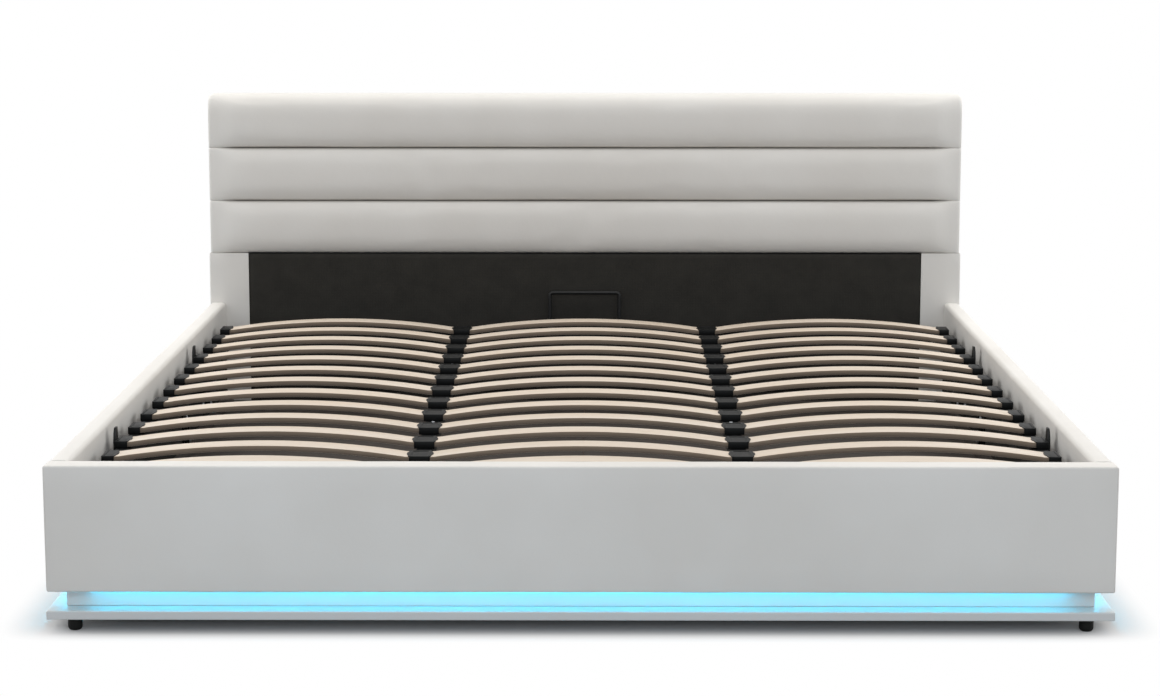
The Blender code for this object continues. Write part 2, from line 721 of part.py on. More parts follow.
# Lift fittings, from the rail inwards: plate, links, bracket on the platform, and the gas strut under the side tube
PLATE_OUT = INNER_HALF - SEAT_GAP
PLATE_IN = PLATE_OUT - PLATE_THICK
BRACKET_IN = TUBE_OUTER + SEAT_GAP
BRACKET_OUT = BRACKET_IN + BRACKET_THICK
LINK_IN = BRACKET_OUT + SEAT_GAP
LINK_OUT = LINK_IN + LINK_THICK
STRUT_X = TUBE_OUTER - STRUT_SIDE_SETBACK
EYE_OUT = STRUT_X + EYE_THICK / 2
EYE_IN = STRUT_X - EYE_THICK / 2


def peg(at, start, end, radius, name):
    """A round pin or boss along the bed's width."""
    return helper(
        turned([(0, 0), (radius, 0), (radius, end - start), (0, end - start)], (start, *at), (1, 0, 0)), name
    )


def sheet(circles, start, end, holes, name):
    """A flat plate drawn round circles given as (y, z, radius), with round holes, as a helper."""
    made = helper(prism(wrap(circles), "x", start, end), name)
    cutters = [
        peg(at, start - LINK_THICK, end + LINK_THICK, radius, f"{name}_hole_{k}")
        for k, (at, radius) in enumerate(holes)
    ]
    if cutters:
        combine(made, cutters, "DIFFERENCE")
        fix(made)
    return made


def both(made, name, surface, origin, parent=None):
    """Turn a finished helper into the right and left pieces of a fitting."""
    mesh = bmesh.new()
    mesh.from_mesh(made.data)
    bpy.data.objects.remove(made, do_unlink=True)
    return pair(mesh, name, surface, origin, parent)


HOLE = PIN_RADIUS + PIN_CLEARANCE
PLATE_LOW = PLINTH_TOP + SEAT_GAP
plate_circles = [
    (y, max(z, PLATE_LOW + PLATE_MARGIN), PLATE_MARGIN) for y, z in (MAIN_LOW, SECOND_LOW, STRUT_LOW)
] + [(SECOND_LOW[0], STRUT_LOW[1], PLATE_MARGIN)]
plate = sheet(plate_circles, PLATE_IN, PLATE_OUT, [], "plate")
plate_parts = [
    peg(MAIN_LOW, LINK_OUT + SEAT_GAP, PLATE_IN + PLATE_THICK / 2, PIN_BOSS_RADIUS, "main_boss"),
    peg(MAIN_LOW, LINK_IN - PIN_HEAD, PLATE_IN, PIN_RADIUS, "main_pin"),
    peg(SECOND_LOW, LINK_OUT + SEAT_GAP, PLATE_IN + PLATE_THICK / 2, PIN_BOSS_RADIUS, "second_boss"),
    peg(SECOND_LOW, LINK_IN - PIN_HEAD, PLATE_IN, PIN_RADIUS, "second_pin"),
    peg(STRUT_LOW, EYE_OUT + SEAT_GAP, PLATE_IN + PLATE_THICK / 2, STUD_RADIUS, "strut_stud"),
    peg(STRUT_LOW, EYE_IN - PIN_HEAD, PLATE_IN, STRUT_PIN_RADIUS, "strut_pin"),
]
combine(plate, plate_parts, "UNION")
both(fix(plate), "lift_plate", STEEL, (PLATE_IN, *MAIN_LOW))

main_links = pivot("main_link_pivot", (0, *MAIN_LOW))
both(
    sheet(
        [(*MAIN_LOW, LINK_RADIUS), (*MAIN_HIGH, LINK_RADIUS)],
        LINK_IN,
        LINK_OUT,
        [(MAIN_LOW, HOLE), (MAIN_HIGH, HOLE)],
        "main",
    ),
    "main_link",
    STEEL,
    main_links.location,
    main_links,
)

second_links = pivot("second_link_pivot", (0, *SECOND_LOW))
second = sheet(
    [(*SECOND_LOW, SECOND_LINK_RADIUS), (*SECOND_HIGH, LINK_RADIUS), (*STRUT_HIGH, LINK_RADIUS)],
    LINK_IN,
    LINK_OUT,
    [(SECOND_LOW, HOLE)],
    "second",
)
combine(
    second,
    [
        peg(STRUT_HIGH, EYE_OUT + SEAT_GAP, LINK_IN + LINK_THICK / 2, STUD_RADIUS + PIN_HEAD, "strut_boss"),
        peg(SECOND_HIGH, LINK_IN + LINK_THICK / 2, LINK_OUT + PIN_HEAD, PIN_RADIUS, "rivet"),
    ],
    "UNION",
)
both(fix(second), "second_link", STEEL, second_links.location, second_links)

bracket = sheet(
    [
        (*MAIN_HIGH, LINK_RADIUS),
        (*SECOND_HIGH, LINK_RADIUS),
        (MAIN_HIGH[0], TUBE_TOP - LINK_RADIUS, LINK_RADIUS),
        (SECOND_HIGH[0], TUBE_TOP - LINK_RADIUS, LINK_RADIUS),
    ],
    BRACKET_IN,
    BRACKET_OUT,
    [],
    "bracket",
)
combine(
    bracket,
    [peg(MAIN_HIGH, BRACKET_IN + BRACKET_THICK / 2, LINK_OUT + PIN_HEAD, PIN_RADIUS, "upper_pin")],
    "UNION",
)
both(fix(bracket), "lift_bracket", STEEL, PIVOT, platform)

# Gas struts: a tube with a blind bore and an eye on the plate's stud, and a rod that slides in it
STRUT_RUN = Vector((0, STRUT_HIGH[0] - STRUT_LOW[0], STRUT_HIGH[1] - STRUT_LOW[1]))
STRUT_LENGTH = STRUT_RUN.length
STRUT_DIRECTION = STRUT_RUN.normalized()
STRUT_ORIGIN = Vector((STRUT_X, *STRUT_LOW))


def along(distance):
    """A point on the strut's axis."""
    return STRUT_ORIGIN + STRUT_DIRECTION * distance


def eye(at, toward, hole, name):
    """A flat eye round a point, with a shank along the strut's axis."""
    centre = (at.y, at.z, EYE_RADIUS)
    shank = (toward.y, toward.z, ROD_RADIUS)
    return sheet([centre, shank], EYE_IN, EYE_OUT, hole, name)


STRUT_TUBE_END = STRUT_TUBE_START + STRUT_TUBE_LENGTH
BORE = ROD_RADIUS + PIN_CLEARANCE
tube_profile = [
    (0, 0),
    (STRUT_RADIUS, 0),
    (STRUT_RADIUS, STRUT_TUBE_LENGTH),
    (BORE, STRUT_TUBE_LENGTH),
    (BORE, STRUT_TUBE_LENGTH - STRUT_BORE_DEPTH),
    (0, STRUT_TUBE_LENGTH - STRUT_BORE_DEPTH),
]
strut_pivots = pivot("strut_pivot", (0, *STRUT_LOW))
cylinder = helper(turned(tube_profile, along(STRUT_TUBE_START), STRUT_DIRECTION), "strut_tube")
combine(
    cylinder,
    [
        eye(
            STRUT_ORIGIN,
            along(STRUT_TUBE_START + EYE_THICK),
            [(STRUT_LOW, STRUT_PIN_RADIUS + PIN_CLEARANCE)],
            "low_eye",
        )
    ],
    "UNION",
)
both(fix(cylinder), "strut_cylinder", STEEL, strut_pivots.location, strut_pivots)
rod_start = STRUT_TUBE_END - ROD_REACH_INSIDE
rod_run = STRUT_LENGTH - EYE_RADIUS / 2 - rod_start
rod = helper(
    turned([(0, 0), (ROD_RADIUS, 0), (ROD_RADIUS, rod_run), (0, rod_run)], along(rod_start), STRUT_DIRECTION), "rod"
)
combine(rod, [eye(along(STRUT_LENGTH), along(STRUT_LENGTH - 2 * EYE_RADIUS), [], "high_eye")], "UNION")
both(fix(rod), "strut_rod", CHROME, strut_pivots.location, strut_pivots)
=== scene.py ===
import json
import math

import bmesh
import bpy
from mathutils import Matrix, Vector, noise


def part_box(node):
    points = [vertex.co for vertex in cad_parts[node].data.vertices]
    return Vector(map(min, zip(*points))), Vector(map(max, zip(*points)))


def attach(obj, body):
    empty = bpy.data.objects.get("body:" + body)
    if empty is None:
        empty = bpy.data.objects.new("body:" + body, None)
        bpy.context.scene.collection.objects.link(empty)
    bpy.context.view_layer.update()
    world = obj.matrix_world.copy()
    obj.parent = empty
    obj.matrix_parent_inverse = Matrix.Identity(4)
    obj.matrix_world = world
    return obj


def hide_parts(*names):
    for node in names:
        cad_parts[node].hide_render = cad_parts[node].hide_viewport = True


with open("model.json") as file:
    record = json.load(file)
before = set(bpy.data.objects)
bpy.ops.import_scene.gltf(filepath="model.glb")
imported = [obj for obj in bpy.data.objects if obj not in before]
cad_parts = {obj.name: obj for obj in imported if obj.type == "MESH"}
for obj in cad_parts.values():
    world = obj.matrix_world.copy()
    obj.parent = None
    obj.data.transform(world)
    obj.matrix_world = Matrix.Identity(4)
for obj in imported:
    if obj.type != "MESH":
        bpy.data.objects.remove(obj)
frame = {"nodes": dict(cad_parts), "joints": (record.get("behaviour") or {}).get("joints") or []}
scene = bpy.context.scene
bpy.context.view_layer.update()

# Gap between two pieces that lie against each other
SEAT_GAP = 0.0003
# Parts of a unit direction along an axis: for an edge that runs along it, and for a face that looks along it
PARALLEL = 0.999
FACING = 0.9

# Headboard pad
CHANNEL_COUNT = 3
CHANNEL_CROWN = 0.010
SEAM_DEPTH = 0.016
PAD_TOP_ROUND = 0.034
PAD_BACK_ROUND = 0.010
PAD_END_ROUND = 0.010
PAD_END_INSET = 0.004
PAD_END_FADE = 0.072
PAD_END_FULLNESS = 0.20
PAD_TURN_LOSS = 0.15
PAD_LOOP_PITCH = 0.0095
PAD_END_LOOPS = 5
CHANNEL_STEPS = 22
PUFF_POWER = 2.85
SEAM_WANDER = 0.0009
SEAM_WANDER_LENGTH = 0.19
FULLNESS_DRIFT = 0.10
FULLNESS_DRIFT_LENGTH = 0.31
# Painted shade along the seams: how dark the leather is on a seam and at the two points beside it, and how
# far from the end that starts
SEAM_SHADE_SHARES = (1.0, 0.8, 0.3)
SEAM_SHADE_START = 0.022
# Air in the cover: how firmly the points beside a seam are held, and how far the others may move
SEAM_HOLD = 0.35
INFLATION_CAP = 0.0016
INFLATION_PRESSURE = 2.0
INFLATION_FRAMES = 16
SLACK_SHARE = 0.0015
SPREAD_ROUNDS = 8

# Padded boards
FOOTBOARD_ROUND = 0.005
RAIL_TOP_ROUND = 0.010
RAIL_LOW_ROUND = 0.004
HEADBOARD_ROUND = 0.007
BOARD_CUT_PITCH = 0.045
FOAM_UNEVEN = 0.0005
FOAM_UNEVEN_LENGTH = 0.16
FOAM_CROWN = 0.0006
FOAM_CROWN_REACH = 0.05

# Headboard board, set back for the pad, and the fabric panel in its recess
UPPER_BACK = 0.024
STEP_IN_HEIGHT = 0.0015
SHARP_ANGLE = math.radians(60)
PANEL_SEAT = 0.0012
PANEL_THICK = 0.0006
PANEL_TAUT_EDGE = 0.06
PANEL_WAVE = 0.0009
PANEL_WAVE_WIDTH = 0.23
PANEL_WAVE_HEIGHT = 0.11

# Slats and what holds them
SLAT_WIDTH = 0.053
SLAT_THICK = 0.010
SLAT_RISE = 0.0215
SLAT_END_INSERT = 0.012
SLAT_TOP_INSET = 0.002
SLAT_EDGE_ROUND = 0.0008
SLAT_SIDE_FACING = 0.75
SLAT_CUTS = 28
CAP_LENGTH = 0.0235
CAP_RISE = 0.0140
CAP_WALL = 0.0019
CAP_EDGE_ROUND = 0.0008
RIB_INNER = 0.0062
RIB_OUTER = 0.0032
RIB_END_INSET = 0.006
RIB_HEIGHT = 0.0009
RIB_ROUND = 0.0004
TONGUE_BULGE = 0.0045
TONGUE_THICK = 0.0014
TONGUE_CUTS = 23
TONGUE_FALL = 1.5
TONGUE_WAVE = 0.16
TONGUE_WAVE_TURNS = 1.5
CONNECTOR_LENGTH = 0.039
CONNECTOR_OFFSET = 0.300
SADDLE_INSET = 0.0055
SADDLE_DROP = 0.0009

# Stop bar, hooks and feet
BAR_RADIUS = 0.005
BAR_BEND_RADIUS = 0.008
BAR_BEND_STEPS = 10
HOOK_ROUND = 0.0016
HOOK_TAPER_SHARE = 0.45
HOOK_CUTS = 11
FOOT_COLLAR_HEIGHT = 0.006
FOOT_DOME_HEIGHT = 0.0075
FOOT_DOME_STEPS = 8
FOOT_EDGE = 0.0006
FOOT_COLLAR_EDGE = 0.0008
# Radii of a foot as shares of its widest: its flat bottom, what the dome adds, the collar's edge and the top
FOOT_FLAT = 0.52
FOOT_DOME = 0.45
FOOT_COLLAR = 0.985
FOOT_TOP = 0.95

# Fasteners
DISC_ROUND = 0.0003
BOLT_RADIUS = 0.0065
BOLT_HEIGHT = 0.0038
BOLT_ROUND = 0.0006
WASHER_RADIUS = 0.0090
WASHER_THICK = 0.0010
RIVET_RADIUS = 0.0080
RIVET_HEIGHT = 0.0030
RIVET_ROUND = 0.0014
LOW_RIVET_HEIGHT = 0.0011
SCREWED_ROWS = ("slat_row_04", "slat_row_09")
SCREW_RADIUS = 0.0036
SCREW_HEIGHT = 0.0016
SCREW_ROUND = 0.0011
PLUG_HEAD = 0.0025
PLUG_ROUND = 0.0012
PLATE_THICK = 0.003
# Four hexagon bolts hold each plate to its rail, at these shares of the plate's length and height
PLATE_BOLTS = ((0.13, 0.72), (0.25, 0.30), (0.55, 0.72), (0.80, 0.55))

# Gas struts, whose places are measured from the lower eye, and those of the rod's nut and neck from the upper
EYE_RADIUS = 0.0085
EYE_BORE = 0.0043
EYE_HALF = 0.0040
EYE_LIP = 0.0007
STRUT_RADIUS = 0.0080
STRUT_STEM_RADIUS = 0.0045
STRUT_STEM_START = 0.005
STRUT_TUBE_START = 0.016
STRUT_TUBE_END = 0.181
STRUT_BORE_START = 0.056
SHOULDER = 0.0022
ROD_RADIUS = 0.0040
ROD_START = 0.100
ROD_CHAMFER = 0.0005
NUT_EDGE = 0.0015
NUT_START = 0.0195
NUT_END = 0.0115
NECK_CUT = 0.0008
NECK_START = 0.0105
NECK_END = 0.006

# Lit strip: its strength, the pitch of its diodes, and how far its dark bend at a front corner reaches
STRIP_LEVEL = 6.5
DIODE_PITCH = 0.017
DARK_BEND_LENGTH = 0.065
DARK_BEND_DEPTH = 0.020

# Plinth boards are bare where a face looks inward or up by more than this part of its direction
BARE_FACING = 0.3

# Camera, set from the photograph's own lines
CAMERA_PLACE = (0.02510, -5.61745, 1.23814)
CAMERA_PITCH = math.radians(9.0103)
CAMERA_YAW = math.radians(0.3200)
CAMERA_LENS = 81.649
CAMERA_REACH = 100.0
SENSOR_WIDTH = 36.0

# Light levels
SKY_LEVEL = 0.27
SOFTBOX_POWER = 128.0
SOFTBOX_SIZE = (6.0, 6.0)
SOFTBOX_PLACE = (0.0, 0.4, 4.4)
SOFTBOX_TINT = "FFFBF5"
FILL_POWER = 57.0
FILL_SIZE = (5.0, 1.6)
FILL_PLACE = (0.0, -4.6, 1.5)
FILL_TINT = "ECF5FF"
SIDE_POWER = 41.0
SIDE_SIZE = (3.4, 2.2)
SIDE_PLACE = (2.6, 1.00, 1.6)
SIDE_TINT = "FFFFFF"
LIGHT_AIM = (0.0, 0.0, 0.3)

# Floor: its tone where it shows, a painted grey that deepens the shadow under the bed, and its tone for the
# light it sends up
FLOOR_SIZE = 60.0
FLOOR_DROP = 0.0004
FLOOR_SHADE_GREY = "E4E4E4"
FLOOR_BOUNCE_GREY = "A6A6A6"
# Half sizes of the patch of floor that shows the shadow, and where it fades to white, as shares of them
FLOOR_PATCH_X = 1.0
FLOOR_PATCH_Y = 1.07
FLOOR_PATCH_POWER = 24.0
FLOOR_FADE_START = 0.961
FLOOR_FADE_END = 1.055


def shade(code):
    """The linear colour of an sRGB hex value."""
    channels = [int(code[k:k + 2], 16) / 255 for k in (0, 2, 4)]
    return (*[c / 12.92 if c <= 0.04045 else ((c + 0.055) / 1.055) ** 2.4 for c in channels], 1.0)


def outlet(source):
    """The output that a node has in use; an output is given back as it is."""
    if isinstance(source, bpy.types.Node):
        return next(out for out in source.outputs if out.enabled)
    return source


def add(tree, kind, feeds=None, **settings):
    """Add a node with its settings; feeds gives each input a value, or the node or output that feeds it."""
    made = tree.nodes.new("ShaderNode" + kind)
    for name, value in settings.items():
        setattr(made, name, value)
    for key, value in (feeds or {}).items():
        if isinstance(value, (bpy.types.Node, bpy.types.NodeSocket)):
            tree.links.new(outlet(value), made.inputs[key])
        else:
            made.inputs[key].default_value = value
    return made


def coat(name, **values):
    """A new material, its node tree, its shader with the uniform values set, and the object's coordinates."""
    made = bpy.data.materials.new(name)
    made.use_nodes = True
    tree = made.node_tree
    shader = tree.nodes["Principled BSDF"]
    for key, value in values.items():
        shader.inputs[key.replace("_", " ")].default_value = value
    return made, tree, shader, add(tree, "TexCoord").outputs["Object"]


def lead(shader, **sources):
    """Lead nodes to a shader's inputs, whose names have underscores for spaces."""
    for key, source in sources.items():
        shader.id_data.links.new(outlet(source), shader.inputs[key.replace("_", " ")])


# A Mix node's inputs for the colours A and B, by number
A, B = 6, 7


def clouded(name, cloud, ends, gloss, skin=None, **values):
    """A finish with a cloudy tint and gloss; skin is a bump's scale, detail, strength and distance."""
    made, tree, shader, place = coat(name, **values)
    scale, detail = cloud
    share = add(tree, "TexNoise", {"Vector": place, "Scale": scale, "Detail": detail})
    colour = add(tree, "Mix", {0: share, A: shade(ends[0]), B: shade(ends[1])}, data_type="RGBA")
    shine = add(tree, "MapRange", {"Value": share, "To Min": gloss[0], "To Max": gloss[1]})
    lead(shader, Base_Color=colour, Roughness=shine)
    if skin:
        scale, detail, strength, distance = skin
        pits = add(tree, "TexNoise", {"Vector": place, "Scale": scale, "Detail": detail})
        lead(shader, Normal=add(tree, "Bump", {"Height": pits, "Strength": strength, "Distance": distance}))
    return made


def upholstery():
    """Polyurethane faux leather, embossed and semi-matt: soft broad highlights, a faint pebble, no weave, and
    painted shade along its seams.
    """
    made, tree, shader, place = coat("pu_faux_leather_white", IOR=1.5, Coat_Weight=0.03, Coat_Roughness=0.45)
    tint = add(tree, "TexNoise", {"Vector": place, "Scale": 2.6, "Detail": 3.0, "Roughness": 0.55})
    tone = add(tree, "MapRange", {"Value": tint, "From Min": 0.32, "From Max": 0.68})
    colour = add(tree, "Mix", {0: tone, A: shade("EEECE8"), B: shade("E6E3DE")}, data_type="RGBA")
    # Pebbles of 1.2 mm are too fine to show, so they are drawn at 3 mm
    pebble = add(tree, "TexVoronoi", {"Vector": place, "Scale": 330.0}, feature="SMOOTH_F1")
    grain = add(tree, "Bump", {"Height": pebble, "Strength": 0.10, "Distance": 0.0006})
    stretch = add(tree, "TexNoise", {"Vector": place, "Scale": 48.0, "Detail": 4.0, "Roughness": 0.6})
    skin = add(tree, "Bump", {"Height": stretch, "Strength": 0.16, "Distance": 0.0016, "Normal": grain})
    feeds = {"Value": stretch, "From Min": 0.3, "From Max": 0.7, "To Min": 0.48, "To Max": 0.60}
    gloss = add(tree, "MapRange", feeds)
    # Painted shade: the leather is darkened along its sewn seams, where the creases lie in shadow
    seam_shade = add(tree, "Attribute", attribute_name="painted_seam_shade").outputs["Fac"]
    seam_shading = add(tree, "Mix", {0: seam_shade, A: colour, B: shade("98928A")}, data_type="RGBA")
    lead(shader, Base_Color=seam_shading, Roughness=gloss, Normal=skin)
    return made


def lacquered_board():
    """Satin white lacquer on fibreboard: flat and even, with the faint orange peel of a sprayed coat."""
    return clouded(
        "satin_lacquer_white", cloud=(3.0, 3.0), ends=("DFE0E0", "D6D8D8"), gloss=(0.30, 0.42),
        skin=(260.0, 2.0, 0.06, 0.0005), IOR=1.5, Coat_Weight=0.15, Coat_Roughness=0.25,
    )


def spunbond():
    """Black spun-bonded polypropylene: dead matt, with rows of pressed points and a blotchy lay of fibres."""
    made, tree, shader, place = coat(
        "spunbond_fabric_black", IOR=1.45, Specular_IOR_Level=0.25, Roughness=0.95
    )
    # Pressed points lie 1.5 mm apart and are drawn at 4 mm to show
    points = add(tree, "TexVoronoi", {"Vector": place, "Scale": 250.0, "Randomness": 0.15})
    press = add(tree, "Bump", {"Height": points, "Strength": 0.35, "Distance": 0.0008})
    fibres = add(tree, "TexNoise", {"Vector": place, "Scale": 420.0, "Detail": 3.0})
    lay = add(tree, "Bump", {"Height": fibres, "Strength": 0.30, "Distance": 0.0006, "Normal": press})
    blotch = add(tree, "TexNoise", {"Vector": place, "Scale": 16.0, "Detail": 6.0, "Roughness": 0.65})
    colour = add(tree, "Mix", {0: blotch, A: shade("282725"), B: shade("3D3B37")}, data_type="RGBA")
    lead(shader, Base_Color=colour, Normal=lay)
    return made


def beech_face():
    """Sliced beech veneer under thin clear lacquer: pale, with long soft bands and short darker flecks."""
    made, tree, shader, place = coat("beech_veneer", IOR=1.5, Coat_Weight=0.12, Coat_Roughness=0.30)
    # Growth bands 9 mm wide run along the slat, and flecks 14 by 2 mm lie along them
    along = add(tree, "Mapping", {"Vector": place, "Scale": (5.0, 110.0, 110.0)})
    bands = add(tree, "TexNoise", {"Vector": along, "Scale": 1.0, "Detail": 4.0, "Distortion": 0.4})
    short = add(tree, "Mapping", {"Vector": place, "Scale": (70.0, 520.0, 520.0)})
    flecks = add(tree, "TexNoise", {"Vector": short, "Scale": 1.0, "Detail": 2.0})
    # Each slat comes from another board, so the tint changes from row to row
    board = add(tree, "Mapping", {"Vector": place, "Scale": (1.6, 23.0, 0.0)})
    tint = add(tree, "TexNoise", {"Vector": board, "Scale": 1.0, "Detail": 0.0})
    warm = add(tree, "MapRange", {"Value": tint, "From Min": 0.3, "From Max": 0.7, "To Max": 0.45})
    pale = add(tree, "Mix", {0: bands, A: shade("E7DBCD"), B: shade("D8C8B5")}, data_type="RGBA")
    mixed = add(tree, "Mix", {0: warm, A: pale, B: shade("D7C4AD")}, data_type="RGBA")
    mark = add(tree, "MapRange", {"Value": flecks, "From Min": 0.60, "From Max": 0.72, "To Max": 0.35})
    flecked = add(tree, "Mix", {0: mark, A: mixed, B: shade("B09A82")}, data_type="RGBA")
    gloss = add(tree, "MapRange", {"Value": bands, "To Min": 0.42, "To Max": 0.56})
    bump = add(tree, "Bump", {"Height": bands, "Strength": 0.12, "Distance": 0.0004})
    lead(shader, Base_Color=flecked, Roughness=gloss, Normal=bump)
    return made


def beech_edge():
    """The sawn edge of a glued slat: five brown plies with dark glue lines, darker than the veneer, and
    painted shade that darkens its lower plies.
    """
    made, tree, shader, place = coat("beech_laminated_edge", IOR=1.5, Roughness=0.72)
    ply = add(tree, "Attribute", attribute_name="ply_height").outputs["Fac"]
    layer = add(tree, "Math", {0: ply, 1: 5.0}, operation="MULTIPLY")
    share = add(tree, "Math", {0: layer}, operation="FRACT")
    line = add(tree, "Math", {0: share, 1: 0.16}, operation="LESS_THAN")
    glue = add(tree, "Math", {0: line, 1: 0.35}, operation="MULTIPLY")
    along = add(tree, "Mapping", {"Vector": place, "Scale": (18.0, 60.0, 700.0)})
    fibres = add(tree, "TexNoise", {"Vector": along, "Scale": 1.0, "Detail": 3.0})
    # The lower plies are painted darker, as the shade that falls under the slat
    upper = add(tree, "Mix", {0: fibres, A: shade("A8957F"), B: shade("8B7966")}, data_type="RGBA")
    shaded_lower_plies = add(tree, "Mix", {0: fibres, A: shade("75685C"), B: shade("594E46")}, data_type="RGBA")
    wood_shaded_low = add(tree, "Mix", {0: ply, A: shaded_lower_plies, B: upper}, data_type="RGBA")
    colour = add(tree, "Mix", {0: glue, A: wood_shaded_low, B: shade("52463B")}, data_type="RGBA")
    bump = add(tree, "Bump", {"Height": fibres, "Strength": 0.3, "Distance": 0.0004})
    lead(shader, Base_Color=colour, Normal=bump)
    return made


def moulded_plastic():
    """Black moulded polypropylene with a fine spark-eroded skin: dark in front, greyer in grazing light."""
    return clouded(
        "moulded_polypropylene_black", cloud=(35.0, 3.0), ends=("0B0C0C", "131414"), gloss=(0.38, 0.52),
        skin=(700.0, 2.0, 0.25, 0.0003), IOR=1.49, Specular_IOR_Level=0.12,
    )


def powder_coat():
    """Black powder-coated steel: a hard satin film with orange peel about 1.5 mm across."""
    return clouded(
        "powder_coated_steel_black", cloud=(22.0, 4.0), ends=("0B0B0C", "131414"), gloss=(0.36, 0.52),
        skin=(640.0, 1.0, 0.18, 0.0003), IOR=1.45, Specular_IOR_Level=0.32,
    )


def zinc_plate():
    """Bright zinc plating on bolts: a cold metal with a slightly cloudy gloss."""
    return clouded(
        "zinc_plated_steel", cloud=(180.0, 3.0), ends=("B9BCC0", "9DA0A4"), gloss=(0.22, 0.42), Metallic=1.0
    )


def chromed_rod():
    """Ground and chromed steel: a mirror with a fine unevenness."""
    return clouded(
        "chromed_steel", cloud=(900.0, 1.0), ends=("D9DCDF", "CDD0D3"), gloss=(0.08, 0.18), Metallic=1.0
    )


def rubber():
    """Black rubber of the feet: soft, matt and a little dusty."""
    return clouded(
        "moulded_rubber_black", cloud=(120.0, 4.0), ends=("0B0C0B", "151615"), gloss=(0.45, 0.65),
        IOR=1.5, Specular_IOR_Level=0.15,
    )


def storage_panel():
    """Dark grey-brown hardboard of the storage floor: flat and matt, with a faint speckle of fibre."""
    made, tree, shader, place = coat("pressed_hardboard_dark", IOR=1.5)
    broad = add(tree, "TexNoise", {"Vector": place, "Scale": 4.0, "Detail": 4.0})
    fine = add(tree, "TexNoise", {"Vector": place, "Scale": 300.0, "Detail": 3.0})
    speck = add(tree, "Math", {0: fine, 1: broad}, operation="MULTIPLY")
    colour = add(tree, "Mix", {0: speck, A: shade("4C4641"), B: shade("3B3632")}, data_type="RGBA")
    gloss = add(tree, "MapRange", {"Value": broad, "To Min": 0.50, "To Max": 0.65})
    lead(shader, Base_Color=colour, Roughness=gloss)
    return made


def pine_lines(tree, place):
    """Growth lines 6 mm apart along the bed."""
    along = add(tree, "Mapping", {"Vector": place, "Scale": (160.0, 3.0, 160.0)})
    return add(tree, "TexNoise", {"Vector": along, "Scale": 1.0, "Detail": 4.0, "Distortion": 0.6})


def planed_pine():
    """Planed pine of the beam under the floor: honey coloured, with growth lines along its length."""
    made, tree, shader, place = coat("planed_pine", IOR=1.5, Roughness=0.66)
    lines = pine_lines(tree, place)
    tone = add(tree, "MapRange", {"Value": lines, "From Min": 0.35, "From Max": 0.65})
    colour = add(tree, "Mix", {0: tone, A: shade("D9B88A"), B: shade("B98E5C")}, data_type="RGBA")
    bump = add(tree, "Bump", {"Height": lines, "Strength": 0.2, "Distance": 0.0005})
    lead(shader, Base_Color=colour, Normal=bump)
    return made


def shade_dark_batten():
    """Pine batten coloured near black as painted shade, for the shade it lies in under the slats: matt, with
    the grain still raised.
    """
    made, tree, shader, place = coat("pine_darkened_as_painted_shade", IOR=1.5, Specular_IOR_Level=0.3, Roughness=0.8)
    lines = pine_lines(tree, place)
    colour = add(tree, "Mix", {0: lines, A: shade("211F1D"), B: shade("34302C")}, data_type="RGBA")
    bump = add(tree, "Bump", {"Height": lines, "Strength": 0.25, "Distance": 0.0005})
    lead(shader, Base_Color=colour, Normal=bump)
    return made


def lit_strip():
    """Silicone diffuser over blue-green diodes: it glows, except where it bends round a front corner."""
    made, tree, shader, place = coat("silicone_diffuser_lit", IOR=1.41, Roughness=0.35)
    parts = add(tree, "SeparateXYZ", {"Vector": place}).outputs
    side = add(tree, "Math", {0: parts["X"]}, operation="ABSOLUTE")
    in_front = add(tree, "Math", {0: parts["Y"], 1: DARK_BEND_BACK}, operation="LESS_THAN")
    at_corner = add(tree, "Math", {0: side, 1: DARK_BEND_START}, operation="GREATER_THAN")
    dark = add(tree, "Math", {0: in_front, 1: at_corner}, operation="MULTIPLY")
    lit = add(tree, "MapRange", {"Value": dark, "To Min": 1.0, "To Max": 0.0})
    run = add(tree, "Math", {0: parts["X"], 1: parts["Y"]}, operation="ADD")
    turns = add(tree, "Math", {0: run, 1: math.tau / DIODE_PITCH}, operation="MULTIPLY")
    beat = add(tree, "Math", {0: turns}, operation="SINE")
    pulse = add(tree, "MapRange", {"Value": beat, "From Min": -1.0, "To Min": 0.8, "To Max": 1.0})
    glow = add(tree, "Math", {0: pulse, 1: lit}, operation="MULTIPLY")
    level = add(tree, "Math", {0: glow, 1: STRIP_LEVEL}, operation="MULTIPLY")
    shader.inputs["Base Color"].default_value = shade("DDF6FA")
    shader.inputs["Emission Color"].default_value = shade("18D2FF")
    lead(shader, Emission_Strength=level)
    return made


strip_low, strip_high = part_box("led_strip")
DARK_BEND_START = strip_high.x - DARK_BEND_LENGTH
DARK_BEND_BACK = strip_low.y + DARK_BEND_DEPTH

LEATHER = upholstery()
BOARD = lacquered_board()
FABRIC = spunbond()
BEECH = beech_face()
BEECH_EDGE = beech_edge()
PLASTIC = moulded_plastic()
STEEL = powder_coat()
ZINC = zinc_plate()
CHROME = chromed_rod()
RUBBER = rubber()
PANEL = storage_panel()
PINE = planed_pine()
SHADE_DARK_BATTEN = shade_dark_batten()
STRIP = lit_strip()


def piece(mesh, name, materials, body, nodes=(), crease=40):
    """Turn a bmesh in the frame's place into a piece that rides on a body and stands for CAD nodes."""
    data = bpy.data.meshes.new(name)
    mesh.to_mesh(data)
    mesh.free()
    for one in materials if isinstance(materials, tuple) else (materials,):
        data.materials.append(one)
    data.shade_smooth()
    data.set_sharp_from_angle(angle=math.radians(crease))
    made = bpy.data.objects.new(name, data)
    scene.collection.objects.link(made)
    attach(made, body)
    if nodes:
        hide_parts(*nodes)
    return made


def block(low, high):
    """A box between two corners."""
    mesh = bmesh.new()
    low, high = Vector(low), Vector(high)
    bmesh.ops.create_cube(mesh, size=1)
    bmesh.ops.scale(mesh, verts=mesh.verts, vec=high - low)
    bmesh.ops.translate(mesh, verts=mesh.verts, vec=(low + high) / 2)
    return mesh


